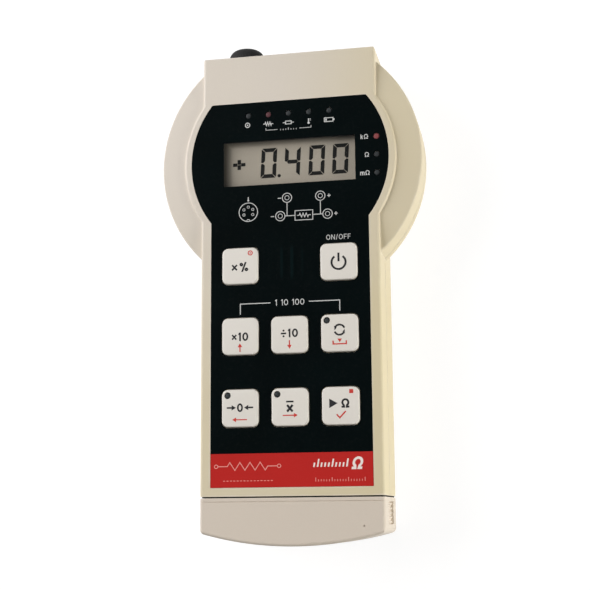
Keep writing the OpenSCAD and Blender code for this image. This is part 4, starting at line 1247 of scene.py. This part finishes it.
def socket_mark():
    """The four test sockets, joined to the resistor that they measure."""
    sense = (-0.79, -16.12), (13.03, -16.06)
    current = (-3.63, -23.67), (15.94, -23.74)
    ink = []
    for across, along in sense + current:
        ink += ring(across, along, 1.95, 0.3)
        ink += ring(across, along, 0.9, 0.22, 20)
    ink += ribbon(rect(2.5, -25.75, 9.85, -21.75), 0.3, True)
    ink += [rect(-1.55, -23.85, 2.4, -23.55), rect(9.95, -23.85, 13.85, -23.55)]
    ink += [rect(-0.94, -23.7, -0.64, -18.2), rect(12.88, -23.7, 13.18, -18.2)]
    ink += zigzag(3.3, 9.05, -23.75, 0.8, 0.3)
    # minus signs on the left, plus signs on the right
    ink += [rect(-4.6, -16.3, -3.2, -15.98), rect(-7.6, -23.85, -6.2, -23.53)]
    ink += [rect(15.9, -16.3, 17.3, -15.98), rect(16.44, -16.85, 16.76, -15.43)]
    ink += [rect(18.7, -23.9, 20.1, -23.58), rect(19.24, -24.45, 19.56, -23.03)]
    return ink


def panel_printing():
    """Pale printing of the black film, as flat shapes."""
    tall = sizes().label_height / MM
    ink = mode_labels()
    for units, across, along in zip(("kW", "W", "mW"), (31.5, 32.4, 31.5), UNIT_LAMPS):
        ink += written(units, across, along, tall * 0.92, 0.15, 0.18)
    ink += probe_mark() + socket_mark()
    ink += written("ON/OFF", 20.26, -33.55, tall * 0.95, 0.11, 0.2)
    # the range bracket reaches from the upper left key to the upper right one
    row = -59.4
    ink += written("1 10 100", 0.0, row, 2.45, 0.125, 0.16)
    for side in (-1, 1):
        ink += ribbon([(side * 7.9, row), (side * 20.4, row), (side * 20.4, row - 4.3)], 0.34)
    return ink


def band_printing():
    """Thin and bold printing of the red band."""
    # a resistor between two round ends, over a dashed line
    row = -124.6
    thin = zigzag(-29.6, -5.4, row, 1.55, 0.34, 8)
    for end in (-30.3, -4.7):
        thin += ribbon(disc(end, row, 0.7, 16), 0.3, True)
    for step in range(15):
        left = -27.4 + step * 1.38
        thin.append(rect(left, -130.45, left + 0.8, -130.15))
    # a bold slanted scale with the unit's sign, over a fine scale
    slant = 0.18
    bold = written("W", 26.6, -123.9, 4.9, 0.2, slant=slant)
    low, thick = -125.3, 0.62
    for step in range(10):
        tall = 3.1 if step % 4 == 1 else 1.7
        left = 8.9 + step * 1.45
        lean = slant * tall
        bold.append([(left, low), (left + thick, low), (left + thick + lean, low + tall),
                     (left + lean, low + tall)])
    for step in range(19):
        left = 9.8 + step * 1.08
        thin.append(rect(left, -130.9, left + 0.26, -129.4 if step % 6 == 0 else -130.1))
    return thin, bold


def digit_segments(figure, left, low, wide, high, width):
    """Seven-segment bars of one digit with cut corners and slight gaps.

    Bars a, g and d lie at the top, middle and foot; f and e stand on the left, b and c
    on the right.
    """
    on = {"0": "abcdef", "4": "bcfg"}[figure]
    gap = 0.11
    cut = 0.24
    half = width / 2
    middle = low + high / 2
    out = []

    def flat_bar(y, top):
        """The top (1), middle (0) or foot bar (-1)."""
        if top == 0:
            tip, shoulder = width * 0.55 + gap, width * 0.88 + gap
            return [(left + tip, y), (left + shoulder, y + half),
                    (left + wide - shoulder, y + half), (left + wide - tip, y),
                    (left + wide - shoulder, y - half), (left + shoulder, y - half)]
        outer = y + top * half
        inner = y - top * half
        return [(left + cut, outer), (left + wide - cut, outer),
                (left + wide - width - gap * 0.4, inner), (left + width + gap * 0.4, inner)]

    def tall_bar(x, side, upper):
        """A bar from the middle to the top or the foot; side 1 is the left one."""
        outer, inner = x - side * half, x + side * half
        far, sign = (low + high, 1) if upper else (low, -1)
        return [(outer, far - sign * cut), (outer, middle + sign * (gap + cut)),
                (x, middle + sign * gap), (inner, middle + sign * (half + gap)),
                (inner, far - sign * (width + gap))]

    right = left + wide - half
    for bar, y, top in (("a", low + high - half, 1), ("d", low + half, -1), ("g", middle, 0)):
        if bar in on:
            out.append(flat_bar(y, top))
    for bar, x, side, upper in (("f", left + half, 1, True), ("b", right, -1, True),
                                ("e", left + half, 1, False), ("c", right, -1, False)):
        if bar in on:
            out.append(tall_bar(x, side, upper))
    return out


def display_shapes():
    """The reading on the display: a plus sign, 0.400 and its point."""
    high = sizes().digit_height / MM
    wide, stroke = 6.58, 1.6
    low = -7.32
    lean = math.tan(math.radians(3.0))
    shapes = []
    for figure, left in (("0", -11.65), ("4", -1.64), ("0", 8.59), ("0", 18.44)):
        for bar in digit_segments(figure, left, low, wide, high, stroke):
            shapes.append([(x + lean * (y - low - high / 2), y) for x, y in bar])
    shapes.append(disc(-4.02, -6.65, 0.72, 20))
    # the plus sign is four bars with slight gaps
    plus_x, plus_y = -21.0, -0.94
    gap = 0.09
    for side in (-1, 1):
        far, near = plus_x + side * 2.66, plus_x + side * (0.75 + gap)
        shapes.append(rect(min(far, near), plus_y - 0.72, max(far, near), plus_y + 0.72))
        far, near = plus_y + side * 2.13, plus_y + side * gap
        shapes.append(rect(plus_x - 0.75, min(far, near), plus_x + 0.75, max(far, near)))
    return [moved(shape, -0.70, 1.02) for shape in shapes]


def lamp_lens(name, place, radius, top, look, node):
    """A small lamp: base ring, barrel and domed lens."""
    dome = 0.35
    ring_r, ring_top = radius + 0.3, LAMP_FOOT + 1.0
    profile = [(ring_r, LAMP_FOOT), (ring_r, ring_top), (radius, ring_top),
               (radius, top - dome)]
    for cosine, sine in quarter(6)[1:]:
        profile.append((radius * cosine, top - dome + dome * sine))
    maker = lathe(profile, (place[0], place[1], 0.0), steps=28)
    piece = finished_object(name, made_mesh(name, maker), finish(look), "case",
                            smooth=45)
    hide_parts(node)
    return piece


def cad_islands(node):
    """Low and high corners of each loose solid in a CAD node, in millimetres from the head."""
    maker = bmesh.new()
    maker.from_mesh(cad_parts[node].data)
    bmesh.ops.remove_doubles(maker, verts=maker.verts, dist=2 * NEAR)
    left = set(maker.verts)
    out = []
    while left:
        seed = left.pop()
        group = [seed]
        queue = [seed]
        while queue:
            vert = queue.pop()
            for edge in vert.link_edges:
                other = edge.other_vert(vert)
                if other in left:
                    left.discard(other)
                    group.append(other)
                    queue.append(other)
        low = [min(v.co[i] for v in group) / MM for i in range(3)]
        high = [max(v.co[i] for v in group) / MM for i in range(3)]
        low[1] -= HEAD_Y
        high[1] -= HEAD_Y
        out.append((low, high))
    maker.free()
    return sorted(out)


# ------------------------------------------------------------------ operators

class OHMMETER_OT_case(bpy.types.Operator):
    """Finish the two shells, the end cap, its seal and the case screws"""
    bl_idname = "ohmmeter.case"
    bl_label = "Case"

    def execute(self, context):
        dress_all({
            "case_plastic": ("front_shell", "rear_shell"),
            "cap_plastic": ("end_cap",),
            "black_rubber": ("cap_seal",),
            "steel": ("case_screws",),
        })
        return {"FINISHED"}


class OHMMETER_OT_panel(bpy.types.Operator):
    """Finish the panel film and print its labels, band and signs"""
    bl_idname = "ohmmeter.panel"
    bl_label = "Panel and printing"

    def execute(self, context):
        dress("front_panel", finish("panel_film"))
        top = DECK_TOP + sizes().ink / MM
        thin, bold = band_printing()
        for name, shapes, look in (("panel_printing", panel_printing(), "pale_ink"),
                                   ("band_printing", thin, "band_ink"),
                                   ("band_bold_printing", bold, "bold_ink")):
            slab(name, shapes, DECK_TOP, top, finish(look), "case")
        return {"FINISHED"}


class OHMMETER_OT_display(bpy.types.Operator):
    """Finish the window, the display and its frame, and draw the reading"""
    bl_idname = "ohmmeter.display"
    bl_label = "Display"

    def execute(self, context):
        dress_all({
            "window_clear": ("display_window",),
            "black_plastic": ("display_frame",),
            "display_glass": ("display_glass",),
            "strip_rubber": ("contact_strips",),
        })
        slab("display_segments", display_shapes(), GLASS_TOP, GLASS_TOP + SEGMENT_INK,
             finish("segment_ink"), "case")
        return {"FINISHED"}


class OHMMETER_OT_keys(bpy.types.Operator):
    """Build the key caps with rounded edges and print their signs"""
    bl_idname = "ohmmeter.keys"
    bl_label = "Keys"

    def execute(self, context):
        for node, (across, along) in KEY_PLACES.items():
            key_cap(node + "_cap", across, along, node in LIT_KEYS)
            black, red = key_signs(node)
            for name, shapes, look in ((node + "_sign", black, "key_ink"),
                                       (node + "_red_sign", red, "red_ink")):
                if shapes:
                    slab(name, [moved(shape, across, along) for shape in shapes],
                         KEY_TOP - KEY_INK, KEY_TOP, finish(look), node)
        dress_all({"black_plastic": ("key_switches",), "steel": ("key_domes",)})
        return {"FINISHED"}


class OHMMETER_OT_lamps(bpy.types.Operator):
    """Build the domed lamps of the panel and the keys"""
    bl_idname = "ohmmeter.lamps"
    bl_label = "Lamps"

    def execute(self, context):
        radius = sizes().lamp_radius / MM
        for number, across in enumerate(MODE_LAMPS, 1):
            look = "lamp_dull_red" if number == DULL_RED_LAMP else "lamp_dark"
            lamp_lens("mode_lamp_%d" % number, (across, MODE_LAMP_ROW), radius,
                      PANEL_LAMP_TOP, look, "mode_lamps")
        for number, along in enumerate(UNIT_LAMPS, 1):
            look = "lamp_red" if number == RED_LAMP else "lamp_dark"
            lamp_lens("unit_lamp_%d" % number, (UNIT_LAMP_COLUMN, along), radius,
                      PANEL_LAMP_TOP, look, "unit_lamps")
        radius = sizes().key_lamp_radius / MM
        for number, node in enumerate(LIT_KEYS, 1):
            across, along = KEY_PLACES[node]
            lamp_lens("key_lamp_%d" % number, (across + KEY_LAMP[0], along + KEY_LAMP[1]),
                      radius, KEY_LAMP_TOP, "lamp_dark", "key_lamps")
        return {"FINISHED"}


class OHMMETER_OT_sockets(bpy.types.Operator):
    """Finish the test sockets and the probe socket, and build its ribbed dust cap"""
    bl_idname = "ohmmeter.sockets"
    bl_label = "Sockets"

    def execute(self, context):
        dress_all({
            "black_plastic": ("socket_plate", "socket_sense_minus", "socket_current_minus",
                              "probe_socket", "probe_insert"),
            "red_plastic": ("socket_sense_plus", "socket_current_plus"),
            "brass": ("contact_sense_minus", "contact_sense_plus", "contact_current_minus",
                      "contact_current_plus", "probe_contacts"),
            "steel": ("socket_nuts", "probe_nut"),
            "wire_yellow": ("socket_leads",),
        })
        dust_cap()
        return {"FINISHED"}


class OHMMETER_OT_boards(bpy.types.Operator):
    """Finish the circuit boards and the parts on them"""
    bl_idname = "ohmmeter.boards"
    bl_label = "Boards"

    def execute(self, context):
        dress_all({
            "circuit_board": ("front_board", "main_board"),
            "steel": ("front_board_screws", "main_board_screws"),
            "black_plastic": ("board_header",),
            "chip_epoxy": ("processor_chip", "converter_chip", "output_transistor"),
            "relay_white": ("range_relays",),
            "ceramic": ("current_shunt",),
            "aluminium": ("heat_sink",),
            "brass": ("fuse_clips",),
        })
        bare_top, fuse_cap = 0.4 * MM, 5.0 * MM
        low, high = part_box("capacitors")
        dress("capacitors", capped_finish(
            "can_sleeve", "Z", low.z - MM, high.z - bare_top, (0.015, 0.03, 0.09),
            (0.62, 0.62, 0.64), 0.28))
        low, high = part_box("fuse")
        dress("fuse", capped_finish(
            "fuse_glass", "X", low.x + fuse_cap, high.x - fuse_cap, (0.80, 0.84, 0.84),
            (0.68, 0.67, 0.64), 0.12, clear=True))
        return {"FINISHED"}


class OHMMETER_OT_battery(bpy.types.Operator):
    """Finish the battery tray and its cells, contacts and leads"""
    bl_idname = "ohmmeter.battery"
    bl_label = "Battery"

    def execute(self, context):
        dress_all({
            "black_plastic": ("battery_tray",),
            "cell_wrap": ("battery_cells",),
            "brass": ("battery_contacts",),
            "wire_red": ("battery_leads",),
        })
        low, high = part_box("battery_tray")
        middle = (low.y + high.y) / 2 / MM - HEAD_Y
        for number, (low, high) in enumerate(cad_islands("battery_springs"), 1):
            wound_spring("battery_spring_%d" % number, low, high, low[1] < middle)
        return {"FINISHED"}


# --------------------------------------------------------------------- studio

def area_lamp(name, place, size, power, colour):
    """A square soft lamp that looks at the middle of the instrument."""
    data = bpy.data.lights.new(name, "AREA")
    data.shape = "SQUARE"
    data.size = size
    data.energy = power
    data.color = colour
    lamp = bpy.data.objects.new(name, data)
    bpy.context.scene.collection.objects.link(lamp)
    lamp.location = place
    aim = Vector((0.0, 0.0, 0.02)) - Vector(place)
    lamp.rotation_euler = aim.to_track_quat("-Z", "Y").to_euler()


def end_tree(tree, kind, lit, seen):
    """Shows one shader to the camera, mirrors and clear parts, and one to other rays."""
    out = tree.nodes.new(kind)
    rays = tree.nodes.new("ShaderNodeLightPath").outputs
    share = sum_of(tree, "ADD", rays["Is Camera Ray"], rays["Is Glossy Ray"], clamp=True)
    share = sum_of(tree, "ADD", share, rays["Is Transmission Ray"], clamp=True)
    choice = tree.nodes.new("ShaderNodeMixShader")
    for place, value in enumerate((share, lit.outputs[0], seen.outputs[0])):
        feed(tree, choice.inputs[place], value)
    tree.links.new(choice.outputs[0], out.inputs["Surface"])


def lay_floor(scene):
    """A pale floor that looks white, with a soft shadow on it."""
    mesh = bpy.data.meshes.new("floor")
    reach, gap = 3.0, 0.1 * MM
    mesh.from_pydata([(-reach, -reach, 0), (reach, -reach, 0), (reach, reach, 0),
                      (-reach, reach, 0)], [], [(0, 1, 2, 3)])
    floor = bpy.data.objects.new("floor", mesh)
    scene.collection.objects.link(floor)
    floor.location = (0.0, 0.0, -gap)
    material = bpy.data.materials.new("floor_sheet")
    material.use_nodes = True
    tree = material.node_tree
    tree.nodes.clear()
    matt = add(tree, "ShaderNodeBsdfDiffuse", {"Color": (0.86, 0.86, 0.85, 1.0)})
    shadow = add(tree, "ShaderNodeBsdfDiffuse", {"Color": (0.24, 0.24, 0.24, 1.0)})
    white = add(tree, "ShaderNodeEmission", {"Color": (1, 1, 1, 1), "Strength": 0.86})
    sheet = tree.nodes.new("ShaderNodeAddShader")
    tree.links.new(shadow.outputs[0], sheet.inputs[0])
    tree.links.new(white.outputs[0], sheet.inputs[1])
    end_tree(tree, "ShaderNodeOutputMaterial", matt, sheet)
    mesh.materials.append(material)


def hang_sky(scene, level):
    """Plain white all round, which gives only a little light."""
    world = bpy.data.worlds.new("studio")
    scene.world = world
    world.use_nodes = True
    tree = world.node_tree
    tree.nodes.clear()
    light = add(tree, "ShaderNodeBackground",
                {"Color": (0.97, 0.98, 1.0, 1.0), "Strength": level})
    seen = add(tree, "ShaderNodeBackground", {"Color": (1, 1, 1, 1), "Strength": 1.0})
    end_tree(tree, "ShaderNodeOutputWorld", light, seen)


def set_camera(scene, look):
    """The camera of the photo."""
    data = bpy.data.cameras.new("camera")
    data.lens = look.lens
    data.sensor_width = 36.0
    data.clip_start = 0.01
    camera = bpy.data.objects.new("camera", data)
    scene.collection.objects.link(camera)
    turn_x, turn_y, turn_z = look.camera_turn
    turn = (Matrix.Rotation(turn_x, 4, "X") @ Matrix.Rotation(turn_y, 4, "Y")
            @ Matrix.Rotation(turn_z, 4, "Z"))
    camera.matrix_world = Matrix.Translation(look.camera_place) @ turn
    scene.camera = camera


class OHMMETER_OT_stage(bpy.types.Operator):
    """Set the pale floor, the lamps, the plain sky and the camera"""
    bl_idname = "ohmmeter.stage"
    bl_label = "Studio"

    def execute(self, context):
        look = studio()
        lay_floor(context.scene)
        hang_sky(context.scene, look.sky_level)
        area_lamp("left_lamp", (-0.92, 0.30, 0.66), 1.0, look.left_power,
                  (1.0, 0.975, 0.975))
        area_lamp("right_lamp", (1.2, -0.25, 0.33), 0.6, look.right_power,
                  (1.0, 0.975, 0.91))
        area_lamp("upper_lamp", (-0.2, 0.95, 0.80), 0.9, look.upper_power,
                  (0.98, 1.0, 1.0))
        set_camera(context.scene, look)
        context.scene.view_settings.view_transform = "Standard"
        return {"FINISHED"}


class OHMMETER_PT_panel(bpy.types.Panel):
    """Lists the build steps and the settings of the micro ohmmeter"""
    bl_label = "Micro ohmmeter"
    bl_idname = "OHMMETER_PT_panel"
    bl_space_type = "VIEW_3D"
    bl_region_type = "UI"
    bl_category = "Ohmmeter"

    def draw(self, context):
        layout = self.layout
        for operator in OPERATORS:
            layout.operator(operator.bl_idname)
        for group in (colours(), sizes(), studio()):
            box = layout.box()
            for name in group.bl_rna.properties.keys():
                if name not in ("rna_type", "name"):
                    box.prop(group, name)


OPERATORS = (
    OHMMETER_OT_case,
    OHMMETER_OT_panel,
    OHMMETER_OT_display,
    OHMMETER_OT_keys,
    OHMMETER_OT_lamps,
    OHMMETER_OT_sockets,
    OHMMETER_OT_boards,
    OHMMETER_OT_battery,
    OHMMETER_OT_stage,
)
GROUPS = (OhmmeterColours, OhmmeterSizes, OhmmeterStudio)


def register():
    """Adds the settings, the operators and the sidebar panel."""
    for item in GROUPS + OPERATORS + (OHMMETER_PT_panel,):
        bpy.utils.register_class(item)
    scene_type = bpy.types.Scene
    scene_type.ohmmeter_colours = bpy.props.PointerProperty(type=OhmmeterColours)
    scene_type.ohmmeter_sizes = bpy.props.PointerProperty(type=OhmmeterSizes)
    scene_type.ohmmeter_studio = bpy.props.PointerProperty(type=OhmmeterStudio)


def unregister():
    """Takes them away again."""
    del bpy.types.Scene.ohmmeter_studio
    del bpy.types.Scene.ohmmeter_sizes
    del bpy.types.Scene.ohmmeter_colours
    for item in reversed(GROUPS + OPERATORS + (OHMMETER_PT_panel,)):
        bpy.utils.unregister_class(item)


def main():
    """Builds everything in order."""
    register()
    for operator in OPERATORS:
        getattr(bpy.ops.ohmmeter, operator.bl_idname.split(".")[1])()


if __name__ == "__main__":
    main()
